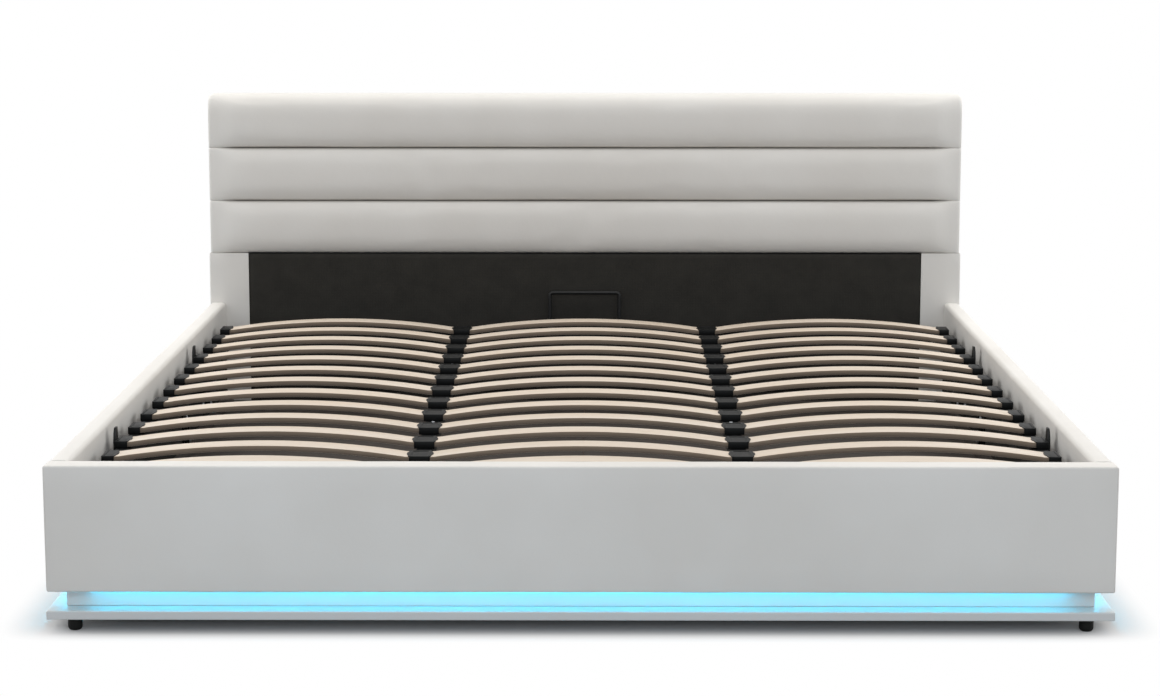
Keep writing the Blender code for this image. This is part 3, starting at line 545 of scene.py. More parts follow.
def ease(mesh, edges, radius, segments=3):
    """Round some edges of a piece."""
    bmesh.ops.bevel(
        mesh, geom=list(edges), offset=radius, offset_type="OFFSET", segments=segments, profile=0.5,
        affect="EDGES", clamp_overlap=True, material=-1,
    )
    return mesh


def edges_along(mesh, axis):
    """The edges that run along one axis, by its number."""
    return [e for e in mesh.edges if abs((e.verts[0].co - e.verts[1].co).normalized()[axis]) > PARALLEL]


def slice_up(mesh, axis, places):
    """Cut a piece by planes across one axis."""
    normal = Vector((0, 0, 0))
    normal[axis] = 1
    for place in places:
        bmesh.ops.bisect_plane(
            mesh, geom=mesh.verts[:] + mesh.edges[:] + mesh.faces[:], plane_co=normal * place, plane_no=normal
        )


def spaced(low, high, pitch):
    """Places strictly between two ends, about a pitch apart."""
    count = max(1, round((high - low) / pitch))
    return [low + (high - low) * k / count for k in range(1, count)]


def joined(*meshes):
    """Several bmeshes as one."""
    whole = bmesh.new()
    for one in meshes:
        data = bpy.data.meshes.new("part")
        one.to_mesh(data)
        one.free()
        whole.from_mesh(data)
        bpy.data.meshes.remove(data)
    return whole


def quarter(steps):
    """The angles of a quarter turn, in even steps."""
    return [math.radians(90 * step / steps) for step in range(steps + 1)]


def turned(profile, steps=40, closed=False):
    """A profile of (radius, height) pairs spun round the Z axis."""
    mesh = bmesh.new()
    line = [mesh.verts.new((r, 0, z)) for r, z in profile]
    edges = [mesh.edges.new(pair) for pair in zip(line, line[1:] + line[:1] if closed else line[1:])]
    bmesh.ops.spin(
        mesh, geom=line + edges, cent=(0, 0, 0), axis=(0, 0, 1), angle=math.tau, steps=steps, use_merge=True
    )
    bmesh.ops.remove_doubles(mesh, verts=mesh.verts, dist=SEAT_GAP / 10)
    bmesh.ops.recalc_face_normals(mesh, faces=mesh.faces)
    return mesh


def mirrored(mesh):
    """A copy of a piece on the other side of the bed."""
    other = mesh.copy()
    bmesh.ops.scale(other, verts=other.verts, vec=(-1, 1, 1))
    bmesh.ops.recalc_face_normals(other, faces=other.faces)
    return other


def both_sides(mesh, name, materials, body, nodes=(), crease=40):
    """The right piece as modelled and its mirror image on the left; nodes lose their side in their names."""
    other = mirrored(mesh)
    return [
        piece(one, f"{name}_{side}", materials, body, [f"{n}_{side}" for n in nodes], crease)
        for one, side in ((mesh, "right"), (other, "left"))
    ]


def let_foam_give(mesh, seed):
    """Move a padded board's skin as foam does: a hair of crown on each wide face and a slow unevenness."""
    low = Vector([min(v.co[k] for v in mesh.verts) for k in range(3)])
    high = Vector([max(v.co[k] for v in mesh.verts) for k in range(3)])
    bmesh.ops.recalc_face_normals(mesh, faces=mesh.faces)
    mesh.normal_update()
    for v in mesh.verts:
        shares = [(v.co[k] - low[k]) / (high[k] - low[k]) for k in range(3)]
        reach = [min(s, 1 - s) * (high[k] - low[k]) for k, s in enumerate(shares)]
        wave = noise.noise(v.co / FOAM_UNEVEN_LENGTH + Vector((seed, 0, 0)))
        near = min(sorted(reach)[1] / FOAM_CROWN_REACH, 1.0)
        v.co -= v.normal * (FOAM_CROWN * (1 - near) ** 2 + FOAM_UNEVEN * (0.5 + 0.5 * wave))


def cut_evenly(mesh, low, high, axes=(0, 1, 2)):
    """Cut a board about every BOARD_CUT_PITCH along some axes."""
    for axis in axes:
        slice_up(mesh, axis, spaced(low[axis], high[axis], BOARD_CUT_PITCH))


# Footboard and side rails
low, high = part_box("footboard")
footboard = block(low, high)
ease(footboard, footboard.edges[:], FOOTBOARD_ROUND, segments=5)
cut_evenly(footboard, low, high)
let_foam_give(footboard, seed=1)
cover = piece(footboard, "footboard_cover", LEATHER, "base", ["footboard"], crease=60)

low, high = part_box("side_rail_right")
rail = block(low, high)
top_edges = [e for e in edges_along(rail, 1) if e.verts[0].co.z > (low.z + high.z) / 2]
ease(rail, top_edges, RAIL_TOP_ROUND, segments=6)
low_edges = [e for e in edges_along(rail, 1) if e.verts[0].co.z < low.z + SEAT_GAP]
ease(rail, low_edges, RAIL_LOW_ROUND)
cut_evenly(rail, low, high)
# Below the cleats' top the rail's inner face takes the black fabric, a dark sheet painted where the inside of
# the box lies in shade
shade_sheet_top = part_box("rest_cleat_right")[1].z
slice_up(rail, 2, [shade_sheet_top])
let_foam_give(rail, seed=7)
for f in rail.faces:
    c = f.calc_center_median()
    f.material_index = int(f.normal.x < -FACING and c.x < (low.x + high.x) / 2 and c.z < shade_sheet_top)
for one in both_sides(
    rail, "side_rail_cover", (LEATHER, FABRIC), "base", ["side_rail"], crease=60
):
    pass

# Headboard: the wrapped board with its shallow recess
low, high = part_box("headboard_board")
pad_low, pad_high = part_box("headboard_pad")
fabric_low, fabric_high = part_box("headboard_fabric")
wrap = block(low, high)
slice_up(wrap, 2, [fabric_low.z - SEAT_GAP, pad_low.z - SEAT_GAP, pad_low.z + STEP_IN_HEIGHT])
slice_up(wrap, 0, [fabric_low.x - SEAT_GAP, fabric_high.x + SEAT_GAP])


def push_back(mesh, distance, wanted):
    """Set the front faces whose centres are wanted back into a board."""
    faces = [f for f in mesh.faces if f.normal.y < -FACING and wanted(f.calc_center_median())]
    grown = bmesh.ops.extrude_face_region(mesh, geom=faces)
    moved = [v for v in grown["geom"] if isinstance(v, bmesh.types.BMVert)]
    bmesh.ops.delete(mesh, geom=faces, context="FACES")
    bmesh.ops.translate(mesh, verts=moved, vec=(0, distance, 0))
    mesh.normal_update()


wrap.normal_update()
push_back(
    wrap, fabric_high.y + SEAT_GAP - low.y,
    lambda c: abs(c.x) < fabric_high.x and fabric_low.z < c.z < pad_low.z,
)
push_back(wrap, UPPER_BACK, lambda c: c.z > pad_low.z and c.y < low.y + SEAT_GAP)
for v in wrap.verts:
    if v.co.z > pad_low.z and abs(v.co.x) > pad_high.x - PAD_END_INSET:
        v.co.x = math.copysign(pad_high.x - PAD_END_INSET, v.co.x)
bmesh.ops.recalc_face_normals(wrap, faces=wrap.faces)
sharp = [e for e in wrap.edges if len(e.link_faces) == 2 and e.calc_face_angle() > SHARP_ANGLE]
outer = [e for e in sharp if all(abs(v.co.x) > pad_high.x - PAD_END_INSET - SEAT_GAP for v in e.verts)]
ease(wrap, outer, HEADBOARD_ROUND, segments=4)
cut_evenly(wrap, low, high, axes=(0, 2))
wrap.normal_update()
for f in wrap.faces:
    c = f.calc_center_median()
    low_front = f.normal.y < -FACING and c.z < fabric_low.z - SEAT_GAP
    ledge = f.normal.z > FACING and c.z < fabric_low.z + SEAT_GAP
    f.material_index = int(abs(c.x) < fabric_high.x and (low_front or ledge))
finish = (LEATHER, FABRIC)
cover = piece(wrap, "headboard_wrap", finish, "base", ["headboard_board"], crease=50)

# Bare fabric panel, tacked taut in the recess
panel = bmesh.new()
bmesh.ops.create_grid(panel, x_segments=120, y_segments=26, size=0.5)
span = fabric_high - fabric_low
bmesh.ops.scale(panel, verts=panel.verts, vec=(span.x, span.z, 1))
upright = Matrix.Rotation(math.radians(90), 3, "X")
bmesh.ops.rotate(panel, verts=panel.verts, cent=(0, 0, 0), matrix=upright)
centre_x, centre_z = (fabric_low.x + fabric_high.x) / 2, (fabric_low.z + fabric_high.z) / 2
bmesh.ops.translate(panel, verts=panel.verts, vec=(centre_x, fabric_low.y + PANEL_SEAT, centre_z))
for v in panel.verts:
    x, z = v.co.x, v.co.z
    reach = min(x - fabric_low.x, fabric_high.x - x, fabric_high.z - z, z - fabric_low.z)
    loose = min(1.0, max(0.0, reach) / PANEL_TAUT_EDGE)
    wave = noise.noise(Vector((x / PANEL_WAVE_WIDTH, 0.0, z / PANEL_WAVE_HEIGHT)))
    v.co.y += PANEL_WAVE * loose * wave
panel_piece = piece(panel, "headboard_panel", FABRIC, "base", ["headboard_fabric"], crease=80)
skin = panel_piece.modifiers.new("cloth_thickness", "SOLIDIFY")
skin.thickness = PANEL_THICK

# Channelled pad of the headboard
CHANNEL_HEIGHT = (pad_high.z - pad_low.z) / CHANNEL_COUNT
PAD_FRONT_Y = pad_low.y + CHANNEL_CROWN
PAD_LEDGE = high.z + SEAT_GAP
PAD_INNER_Y = low.y + UPPER_BACK - SEAT_GAP


def puff(share):
    """How far a channel stands out at a share of its height: nothing at its seams, one at its middle."""
    return max(0.0, 1 - abs(2 * share - 1) ** PUFF_POWER) ** (1 / PUFF_POWER)


def pad_outline(x):
    """The pad's closed outline at one place along its width, as (y, z) pairs from its lower front edge up."""
    from_end = pad_high.x - abs(x)
    end = max(0.0, 1 - from_end / PAD_END_ROUND)
    turn = math.acos(max(-1.0, min(1.0, 1 - end)))
    inset = PAD_END_INSET * (1 - math.cos(math.asin(min(1.0, end)))) if end else 0.0
    fade = min(1.0, max(0.0, from_end - PAD_END_ROUND) / (PAD_END_FADE - PAD_END_ROUND))
    fade = fade * fade * (3 - 2 * fade)
    drift = 1 + FULLNESS_DRIFT * noise.noise(Vector((x / FULLNESS_DRIFT_LENGTH, 3.1, 0)))
    fullness = (PAD_END_FULLNESS + (1 - PAD_END_FULLNESS) * fade) * (1 - PAD_TURN_LOSS * turn)
    front = PAD_FRONT_Y + inset
    points = []
    for index in range(CHANNEL_COUNT):
        last = index == CHANNEL_COUNT - 1
        for step in range(CHANNEL_STEPS // 2 if last else CHANNEL_STEPS):
            share = (1 - math.cos(math.pi * step / CHANNEL_STEPS)) / 2
            wander = SEAM_WANDER * noise.noise(Vector((x / SEAM_WANDER_LENGTH, 7.7 * index, 0)))
            swell = 1 - (1 - drift) * noise.noise(Vector((x / FULLNESS_DRIFT_LENGTH, index * 5.3, 1)))
            out = SEAM_DEPTH * fullness - (CHANNEL_CROWN * swell + SEAM_DEPTH) * fullness * puff(share)
            lift = wander * (1 - share) if index else 0.0
            points.append((front + out, pad_low.z + CHANNEL_HEIGHT * (index + share) + lift))
    middle = pad_high.z - CHANNEL_HEIGHT / 2
    top = pad_high.z - inset
    crown = -CHANNEL_CROWN * fullness
    for angle in quarter(CHANNEL_STEPS):
        out = math.cos(angle) ** (2 / PUFF_POWER)
        up = math.sin(angle) ** (2 / PUFF_POWER)
        points.append((front + crown + (PAD_TOP_ROUND - crown) * (1 - out), middle + (top - middle) * up))
    back = pad_high.y - inset / 2
    for angle in quarter(CHANNEL_STEPS // 2):
        forward, down = 1 - math.sin(angle), 1 - math.cos(angle)
        points.append((back - PAD_BACK_ROUND * forward, top - PAD_BACK_ROUND * down))
    return points + [(back, PAD_LEDGE), (PAD_INNER_Y, PAD_LEDGE), (PAD_INNER_Y, pad_low.z)]


def channelled_pad():
    """The pad's skin: its outline drawn at one end, run along in many loops, and shaped loop by loop."""
    mesh = bmesh.new()
    half = pad_high.x
    rank = mesh.verts.layers.int.new("rank")
    ring = [mesh.verts.new((-half, y, z)) for y, z in pad_outline(-half)]
    for number, v in enumerate(ring):
        v[rank] = number
    face = mesh.faces.new(ring)
    stops = [half - PAD_END_ROUND * (1 - math.sin(angle)) for angle in quarter(PAD_END_LOOPS)[:-1]]
    inner = spaced(-stops[0], stops[0], PAD_LOOP_PITCH)
    for x in [-x for x in reversed(stops)] + inner + stops + [half]:
        grown = bmesh.ops.extrude_face_region(mesh, geom=[face])
        fresh = [g for g in grown["geom"] if isinstance(g, bmesh.types.BMVert)]
        face = next(g for g in grown["geom"] if isinstance(g, bmesh.types.BMFace))
        outline = pad_outline(x)
        for v in fresh:
            v.co = (x, *outline[v[rank]])
    inside = [f for f in mesh.faces if len(f.verts) > 8 and abs(f.calc_center_median().x) < half - SEAT_GAP]
    bmesh.ops.delete(mesh, geom=inside, context="FACES_ONLY")
    bmesh.ops.recalc_face_normals(mesh, faces=mesh.faces)
    return mesh, rank


pad, rank = channelled_pad()
seams = (0, CHANNEL_STEPS, 2 * CHANNEL_STEPS)
free_count = 2 * CHANNEL_STEPS + CHANNEL_STEPS // 2 + CHANNEL_STEPS
hold = []
for v in pad.verts:
    from_seam = min(abs(v[rank] - s) for s in seams)
    held = v[rank] > free_count or from_seam == 0 or abs(v.co.x) > pad_high.x - PAD_END_ROUND
    hold.append(1.0 if held else SEAM_HOLD if from_seam == 1 else 0.0)
# Painted shade along the seams, which fades out towards the pad's ends
seam_shade = pad.verts.layers.float.new("painted_seam_shade")
for v in pad.verts:
    from_seam = min(abs(v[rank] - s) for s in seams[1:])
    from_end = pad_high.x - abs(v.co.x)
    seam_shading = min(1.0, max(0.0, from_end - SEAM_SHADE_START) / (PAD_END_FADE - SEAM_SHADE_START))
    v[seam_shade] = SEAM_SHADE_SHARES[from_seam] * seam_shading if from_seam < len(SEAM_SHADE_SHARES) else 0.0
pad_piece = piece(pad, "headboard_pad_cover", LEATHER, "base", ["headboard_pad"], crease=75)


def inflate(padding, pins):
    """Let air into a cover whose pinned points hold still, and keep what it gains, up to a cap."""
    group = padding.vertex_groups.new(name="sewn_down")
    for number, weight in enumerate(pins):
        group.add([number], weight, "REPLACE")
    start = [v.co.copy() for v in padding.data.vertices]
    step = padding.modifiers.new("air", "CLOTH")
    cloth = step.settings
    cloth.vertex_group_mass = "sewn_down"
    cloth.use_pressure = True
    cloth.uniform_pressure_force = INFLATION_PRESSURE
    cloth.shrink_min = -SLACK_SHARE
    cloth.tension_stiffness = 25
    cloth.compression_stiffness = 25
    cloth.bending_stiffness = 12
    cloth.effector_weights.gravity = 0
    step.point_cache.frame_start = 1
    step.point_cache.frame_end = INFLATION_FRAMES
    for number in range(1, INFLATION_FRAMES + 1):
        scene.frame_set(number)
    shaped = padding.evaluated_get(bpy.context.evaluated_depsgraph_get())
    reached = [v.co.copy() for v in shaped.data.vertices]
    padding.modifiers.remove(step)
    # Foam under the cover spreads each move over its surroundings, so no crease is left in it
    moves = [after - before for before, after in zip(start, reached)]
    around = [[] for _ in moves]
    for edge in padding.data.edges:
        one, other = edge.vertices
        around[one].append(other)
        around[other].append(one)
    for _ in range(SPREAD_ROUNDS):
        moves = [
            (move + sum((moves[k] for k in near), Vector())) / (1 + len(near)) * (1 - weight)
            for move, near, weight in zip(moves, around, pins)
        ]
    for v, before, move in zip(padding.data.vertices, start, moves):
        v.co = before + (move if move.length < INFLATION_CAP else move.normalized() * INFLATION_CAP)
    padding.data.update()
    scene.frame_set(1)


inflate(pad_piece, hold)

# Slats, end caps and connectors, row by row
tube_low, tube_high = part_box("frame_side_tube_right")
row_low, row_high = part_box("slat_row_01")
CAP_LOW = row_low.z
CAP_TOP = tube_high.z + SEAT_GAP + CAP_RISE
CAP_OUT = tube_high.x
CAP_IN = CAP_OUT - CAP_LENGTH
CAP_HALF = (row_high.y - row_low.y) / 2


def slat(start, end):
    """One sprung slat: glued plies bent to a bow, with sawn edges in a finish of their own."""
    mesh = block((start, -SLAT_WIDTH / 2, 0), (end, SLAT_WIDTH / 2, SLAT_THICK))
    ease(mesh, edges_along(mesh, 0), SLAT_EDGE_ROUND)
    bmesh.ops.subdivide_edges(mesh, edges=edges_along(mesh, 0), cuts=SLAT_CUTS)
    ply = mesh.verts.layers.float.new("ply_height")
    mesh.normal_update()
    for f in mesh.faces:
        f.material_index = 1 if abs(f.normal.y) > SLAT_SIDE_FACING else 0
    top = CAP_TOP - SLAT_TOP_INSET
    for v in mesh.verts:
        v[ply] = v.co.z / SLAT_THICK
        free = abs(end - start) - 2 * SLAT_END_INSERT
        share = min(1.0, max(0.0, (abs(v.co.x - start) - SLAT_END_INSERT) / free))
        v.co.z += top - SLAT_THICK + SLAT_RISE * (1 - (2 * share - 1) ** 2)
    return mesh


def pocketed(low_x, high_x, mouths):
    """A holder's body with a pocket for a slat in each mouth side, -1 or 1."""
    mesh = block((low_x, -CAP_HALF, CAP_LOW), (high_x, CAP_HALF, CAP_TOP))
    ease(mesh, mesh.edges[:], CAP_EDGE_ROUND, segments=2)
    for side in mouths:
        mouth = max(mesh.faces, key=lambda f: f.calc_area() if f.normal.x * side > FACING else 0)
        bmesh.ops.inset_individual(mesh, faces=[mouth], thickness=CAP_WALL - CAP_EDGE_ROUND)
        grown = bmesh.ops.extrude_discrete_faces(mesh, faces=[mouth])
        fresh = grown["faces"][0]
        bmesh.ops.translate(mesh, verts=fresh.verts, vec=(-side * (SLAT_END_INSERT + SEAT_GAP), 0, 0))
    return mesh


def tongue(x, side):
    """The waved lip that a holder lays over a slat from its mouth."""
    low_x, high_x = sorted((x - side * CAP_WALL, x + side * SEAT_GAP))
    half = CAP_HALF - CAP_EDGE_ROUND
    mesh = block((low_x, -half, CAP_TOP - TONGUE_THICK), (high_x, half, CAP_TOP + SEAT_GAP))
    bmesh.ops.subdivide_edges(mesh, edges=edges_along(mesh, 1), cuts=TONGUE_CUTS)
    for v in mesh.verts:
        if (v.co.x - x) * side > 0:
            share = abs(v.co.y) / half
            wave = 1 - share ** TONGUE_FALL + TONGUE_WAVE * math.sin(math.tau * TONGUE_WAVE_TURNS * share)
            v.co.x += side * TONGUE_BULGE * wave
    return mesh


def end_cap():
    """Outer cap: a pocket open to the middle of the bed, its lip, and a grip rib along its top."""
    half = CAP_HALF - RIB_END_INSET
    low = (CAP_OUT - RIB_INNER, -half, CAP_TOP - SEAT_GAP)
    high = (CAP_OUT - RIB_OUTER, half, CAP_TOP + RIB_HEIGHT)
    rib = block(low, high)
    ease(rib, rib.edges[:], RIB_ROUND, segments=2)
    return joined(pocketed(CAP_IN, CAP_OUT, [-1]), tongue(CAP_IN, -1), rib)


def connector():
    """Double holder on an inner tube: two pockets back to back, two lips, and a sunk saddle between them."""
    low_x, high_x = CONNECTOR_OFFSET - CONNECTOR_LENGTH / 2, CONNECTOR_OFFSET + CONNECTOR_LENGTH / 2
    body = pocketed(low_x, high_x, [-1, 1])
    top = max(body.faces, key=lambda f: f.calc_area() if f.normal.z > FACING else 0)
    bmesh.ops.inset_individual(body, faces=[top], thickness=SADDLE_INSET)
    bmesh.ops.inset_individual(body, faces=[top], thickness=SADDLE_DROP, depth=-SADDLE_DROP)
    return joined(body, tongue(low_x, -1), tongue(high_x, 1))


INNER_END = CONNECTOR_OFFSET - CONNECTOR_LENGTH / 2 + SLAT_END_INSERT
OUTER_START = CONNECTOR_OFFSET + CONNECTOR_LENGTH / 2 - SLAT_END_INSERT
side_slat = slat(OUTER_START, CAP_IN + SLAT_END_INSERT)
middle_slat = slat(-INNER_END, INNER_END)
cap_shape, connector_shape = end_cap(), connector()
ROW_PIECES = (
    ("slat_right", side_slat, (BEECH, BEECH_EDGE), "beech"),
    ("slat_left", mirrored(side_slat), (BEECH, BEECH_EDGE), "beech"),
    ("slat_middle", middle_slat, (BEECH, BEECH_EDGE), "beech"),
    ("end_cap_right", cap_shape, PLASTIC, "black_plastic"),
    ("end_cap_left", mirrored(cap_shape), PLASTIC, "black_plastic"),
    ("connector_right", connector_shape, PLASTIC, "black_plastic"),
    ("connector_left", mirrored(connector_shape), PLASTIC, "black_plastic"),
)
for node_name in sorted(name for name in frame["nodes"] if name.startswith("slat_row_")):
    number = node_name[-2:]
    row_low, row_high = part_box(node_name)
    for name, shape, finish, slot_name in ROW_PIECES:
        copy = shape.copy()
        bmesh.ops.translate(copy, verts=copy.verts, vec=(0, (row_low.y + row_high.y) / 2, 0))
        piece(copy, f"{name}_{number}", finish, "platform", [node_name], crease=35)
for _, shape, _, _ in ROW_PIECES:
    shape.free()

# Stop bar of bent round steel
bar_low, bar_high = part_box("stop_bar")


def ring_edges(ring):
    """The edges between the points of a ring."""
    return list({e for v in ring for e in v.link_edges if all(w in ring for w in e.verts)})


def rod_line(points, radius, segments=24):
    """A round rod along a line of points, its ring turned to the line at each."""
    mesh = bmesh.new()
    rings = []
    for number, spot in enumerate(points):
        before, after = points[max(number - 1, 0)], points[min(number + 1, len(points) - 1)]
        ring = bmesh.ops.create_circle(mesh, segments=segments, radius=radius)["verts"]
        turn = (Vector(after) - Vector(before)).to_track_quat("Z", "Y").to_matrix().to_4x4()
        bmesh.ops.transform(mesh, matrix=Matrix.Translation(spot) @ turn, verts=ring)
        rings.append(ring)
    for first, second in zip(rings, rings[1:]):
        bmesh.ops.bridge_loops(mesh, edges=ring_edges(first) + ring_edges(second))
    for ring in (rings[0], rings[-1]):
        bmesh.ops.contextual_create(mesh, geom=ring_edges(ring))
    bmesh.ops.recalc_face_normals(mesh, faces=mesh.faces)
    return mesh


leg_x, leg_z = bar_high.x - BAR_RADIUS, bar_low.z + BAR_RADIUS
upright_y, crossbar_z = bar_high.y - BAR_RADIUS, bar_high.z - BAR_RADIUS
bend = [
    (BAR_BEND_RADIUS * (1 - math.sin(angle)), BAR_BEND_RADIUS * (1 - math.cos(angle)))
    for angle in quarter(BAR_BEND_STEPS)
]
half_bar = [(leg_x, bar_low.y, leg_z)]
half_bar += [(leg_x, upright_y - ahead, leg_z + aside) for ahead, aside in bend]
half_bar += [(leg_x - aside, upright_y, crossbar_z - ahead) for ahead, aside in bend]
bar = rod_line([(-x, y, z) for x, y, z in half_bar] + half_bar[::-1], BAR_RADIUS)
piece(bar, "mattress_stop_bar", STEEL, "platform", ["stop_bar"], crease=50)

# Upright hooks beside the mattress
for place in ("head", "foot"):
    hook_low, hook_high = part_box(f"mattress_hook_{place}_right")
    hook = block(hook_low, hook_high)
    bmesh.ops.subdivide_edges(hook, edges=edges_along(hook, 2), cuts=HOOK_CUTS)
    ease(hook, edges_along(hook, 2), HOOK_ROUND, segments=4)
    centre_y = (hook_low.y + hook_high.y) / 2
    for v in hook.verts:
        share = max(0.0, (v.co.z - tube_high.z) / (hook_high.z - tube_high.z))
        v.co.y = centre_y + (v.co.y - centre_y) * (1 - HOOK_TAPER_SHARE * share ** 3)
        v.co.x = hook_low.x + (v.co.x - hook_low.x) * (1 - HOOK_TAPER_SHARE / 2 * share ** 3)
    rim = [e for e in hook.edges if all(v.co.z > hook_high.z - SEAT_GAP for v in e.verts)]
    ease(hook, rim, HOOK_ROUND, segments=4)
    both_sides(hook, f"side_hook_{place}", STEEL, "platform", [f"mattress_hook_{place}"])

# Feet of moulded rubber
for node_name in sorted(name for name in frame["nodes"] if name.startswith("foot_")):
    foot_low, foot_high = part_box(node_name)
    radius = (foot_high.x - foot_low.x) / 2
    centre = (foot_low + foot_high) / 2
    collar = foot_high.z - FOOT_COLLAR_HEIGHT
    profile = [(0, 0), (radius * FOOT_FLAT, 0)]
    for angle in quarter(FOOT_DOME_STEPS)[1:]:
        out = radius * (FOOT_FLAT + FOOT_DOME * math.sin(angle))
        profile.append((out, FOOT_DOME_HEIGHT * (1 - math.cos(angle))))
    profile += [
        (radius * (FOOT_FLAT + FOOT_DOME), collar - FOOT_EDGE),
        (radius * FOOT_COLLAR, collar),
        (radius, collar + FOOT_COLLAR_EDGE),
        (radius, foot_high.z - FOOT_EDGE),
        (radius * FOOT_TOP, foot_high.z),
        (0, foot_high.z),
    ]
    foot = turned(profile, steps=48)
    bmesh.ops.translate(foot, verts=foot.verts, vec=(centre.x, centre.y, 0))
    piece(foot, f"glide_{node_name}", RUBBER, "base", [node_name])

# Fasteners and gas struts of the lift fittings
joints = {joint["name"]: joint for joint in frame["joints"]}


def laid(mesh, spot, direction):
    """Turn a mesh that stands along +Z to a direction, and put it at a spot."""
    turn = Vector(direction).to_track_quat("Z", "Y").to_matrix().to_4x4()
    bmesh.ops.transform(mesh, matrix=Matrix.Translation(spot) @ turn, verts=mesh.verts)
    return mesh


def disc(radius, start, height, segments=32, edge=DISC_ROUND):
    """A flat round or six-sided disc that stands on a height, with its upper rim eased."""
    mesh = bmesh.new()
    bmesh.ops.create_cone(
        mesh, cap_ends=True, segments=segments, radius1=radius, radius2=radius, depth=height,
        matrix=Matrix.Translation((0, 0, start + height / 2)),
    )
    rim = [e for e in mesh.edges if all(v.co.z > start + height / 2 for v in e.verts)]
    ease(mesh, rim, edge)
    return mesh


def bolt(spot, direction):
    """A hexagon bolt head on its washer."""
    washer = disc(WASHER_RADIUS, 0, WASHER_THICK)
    head = disc(BOLT_RADIUS, WASHER_THICK, BOLT_HEIGHT, segments=6, edge=BOLT_ROUND)
    return laid(joined(washer, head), spot, direction)


def eye():
    """The ring at a strut's end, which its pin goes through along the bed's width."""
    lip = EYE_RADIUS - EYE_LIP
    profile = [(EYE_BORE, -EYE_HALF), (lip, -EYE_HALF), (EYE_RADIUS, EYE_LIP - EYE_HALF)]
    return turned(profile + [(r, -x) for r, x in reversed(profile)], closed=True)


INWARD = (-1, 0, 0)
plate_low, plate_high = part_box("lift_plate_right")
plate_span = plate_high - plate_low
link_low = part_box("main_link_right")[0]
bracket_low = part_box("lift_bracket_right")[0]
LINK_ROUND = link_low.y - joints["platform_lift"]["pos_m"][1]
bolts = []
for along, up in PLATE_BOLTS:
    spot = (plate_high.x - PLATE_THICK, plate_low.y + plate_span.y * along, plate_low.z + plate_span.z * up)
    bolts.append(bolt(spot, INWARD))
both_sides(joined(*bolts), "plate_bolts", ZINC, "base")
pins = []
for name in ("platform_lift", "second_link_swing"):
    head = disc(RIVET_RADIUS, 0, RIVET_HEIGHT, edge=RIVET_ROUND)
    pins.append(laid(head, (link_low.x, *joints[name]["pos_m"][1:]), INWARD))
both_sides(joined(*pins), "pivot_pin_heads", ZINC, "base")
tilt_y, tilt_z = joints["platform_tilt"]["pos_m"][1:]
second_y = bracket_low.y - LINK_ROUND
upper = [laid(disc(RIVET_RADIUS, 0, LOW_RIVET_HEIGHT), (bracket_low.x, tilt_y, tilt_z), INWARD)]
upper += [bolt((tube_low.x, y, (tube_low.z + tube_high.z) / 2), INWARD) for y in (tilt_y, second_y)]
both_sides(joined(*upper), "bracket_fasteners", ZINC, "platform")

strut_x = sum(c.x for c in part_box("strut_cylinder_right")) / 2
strut_spot = Vector((strut_x, *joints["strut_swing"]["pos_m"][1:]))
strut_line = Vector(joints["strut_stroke"]["axis"])
rod_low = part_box("strut_rod_right")[0]
STRUT_LENGTH = (rod_low.y + EYE_RADIUS - strut_spot.y) / strut_line.y
GROOVE_RADIUS = STRUT_RADIUS - SHOULDER / 3
cylinder_profile = [
    (0, STRUT_STEM_START),
    (STRUT_STEM_RADIUS, STRUT_STEM_START),
    (STRUT_STEM_RADIUS, STRUT_TUBE_START),
    (STRUT_RADIUS - SHOULDER, STRUT_TUBE_START),
    (STRUT_RADIUS - SHOULDER / 4, STRUT_TUBE_START + SHOULDER / 2),
    (STRUT_RADIUS, STRUT_TUBE_START + SHOULDER),
    (STRUT_RADIUS, STRUT_TUBE_END - 4 * SHOULDER),
    (GROOVE_RADIUS, STRUT_TUBE_END - 3.6 * SHOULDER),
    (GROOVE_RADIUS, STRUT_TUBE_END - 3 * SHOULDER),
    (STRUT_RADIUS, STRUT_TUBE_END - 2.6 * SHOULDER),
    (STRUT_RADIUS, STRUT_TUBE_END - SHOULDER),
    (GROOVE_RADIUS, STRUT_TUBE_END),
    (ROD_RADIUS + SEAT_GAP, STRUT_TUBE_END),
    (ROD_RADIUS + SEAT_GAP, STRUT_BORE_START),
    (0, STRUT_BORE_START),
]
rod_profile = [
    (0, ROD_START),
    (ROD_RADIUS - ROD_CHAMFER, ROD_START),
    (ROD_RADIUS, ROD_START + ROD_CHAMFER),
    (ROD_RADIUS, STRUT_LENGTH - NUT_START - ROD_CHAMFER),
    (ROD_RADIUS + NUT_EDGE, STRUT_LENGTH - NUT_START),
    (ROD_RADIUS + NUT_EDGE, STRUT_LENGTH - NUT_END),
    (ROD_RADIUS - NECK_CUT, STRUT_LENGTH - NECK_START),
    (ROD_RADIUS - NECK_CUT, STRUT_LENGTH - NECK_END),
    (0, STRUT_LENGTH - NECK_END),
]
ACROSS = (1, 0, 0)
rod_end = strut_spot + strut_line * STRUT_LENGTH
cylinder = joined(laid(turned(cylinder_profile), strut_spot, strut_line), laid(eye(), strut_spot, ACROSS))
rod = joined(laid(turned(rod_profile), strut_spot, strut_line), laid(eye(), rod_end, ACROSS))
for f in rod.faces:
    f.material_index = int((f.calc_center_median() - strut_spot).dot(strut_line) > STRUT_LENGTH - NUT_START)
both_sides(
    cylinder, "gas_strut_tube", STEEL, "strut_cylinders", ["strut_cylinder"], crease=35
)
both_sides(rod, "gas_strut_rod", (CHROME, STEEL), "strut_rods", ["strut_rod"], crease=35)

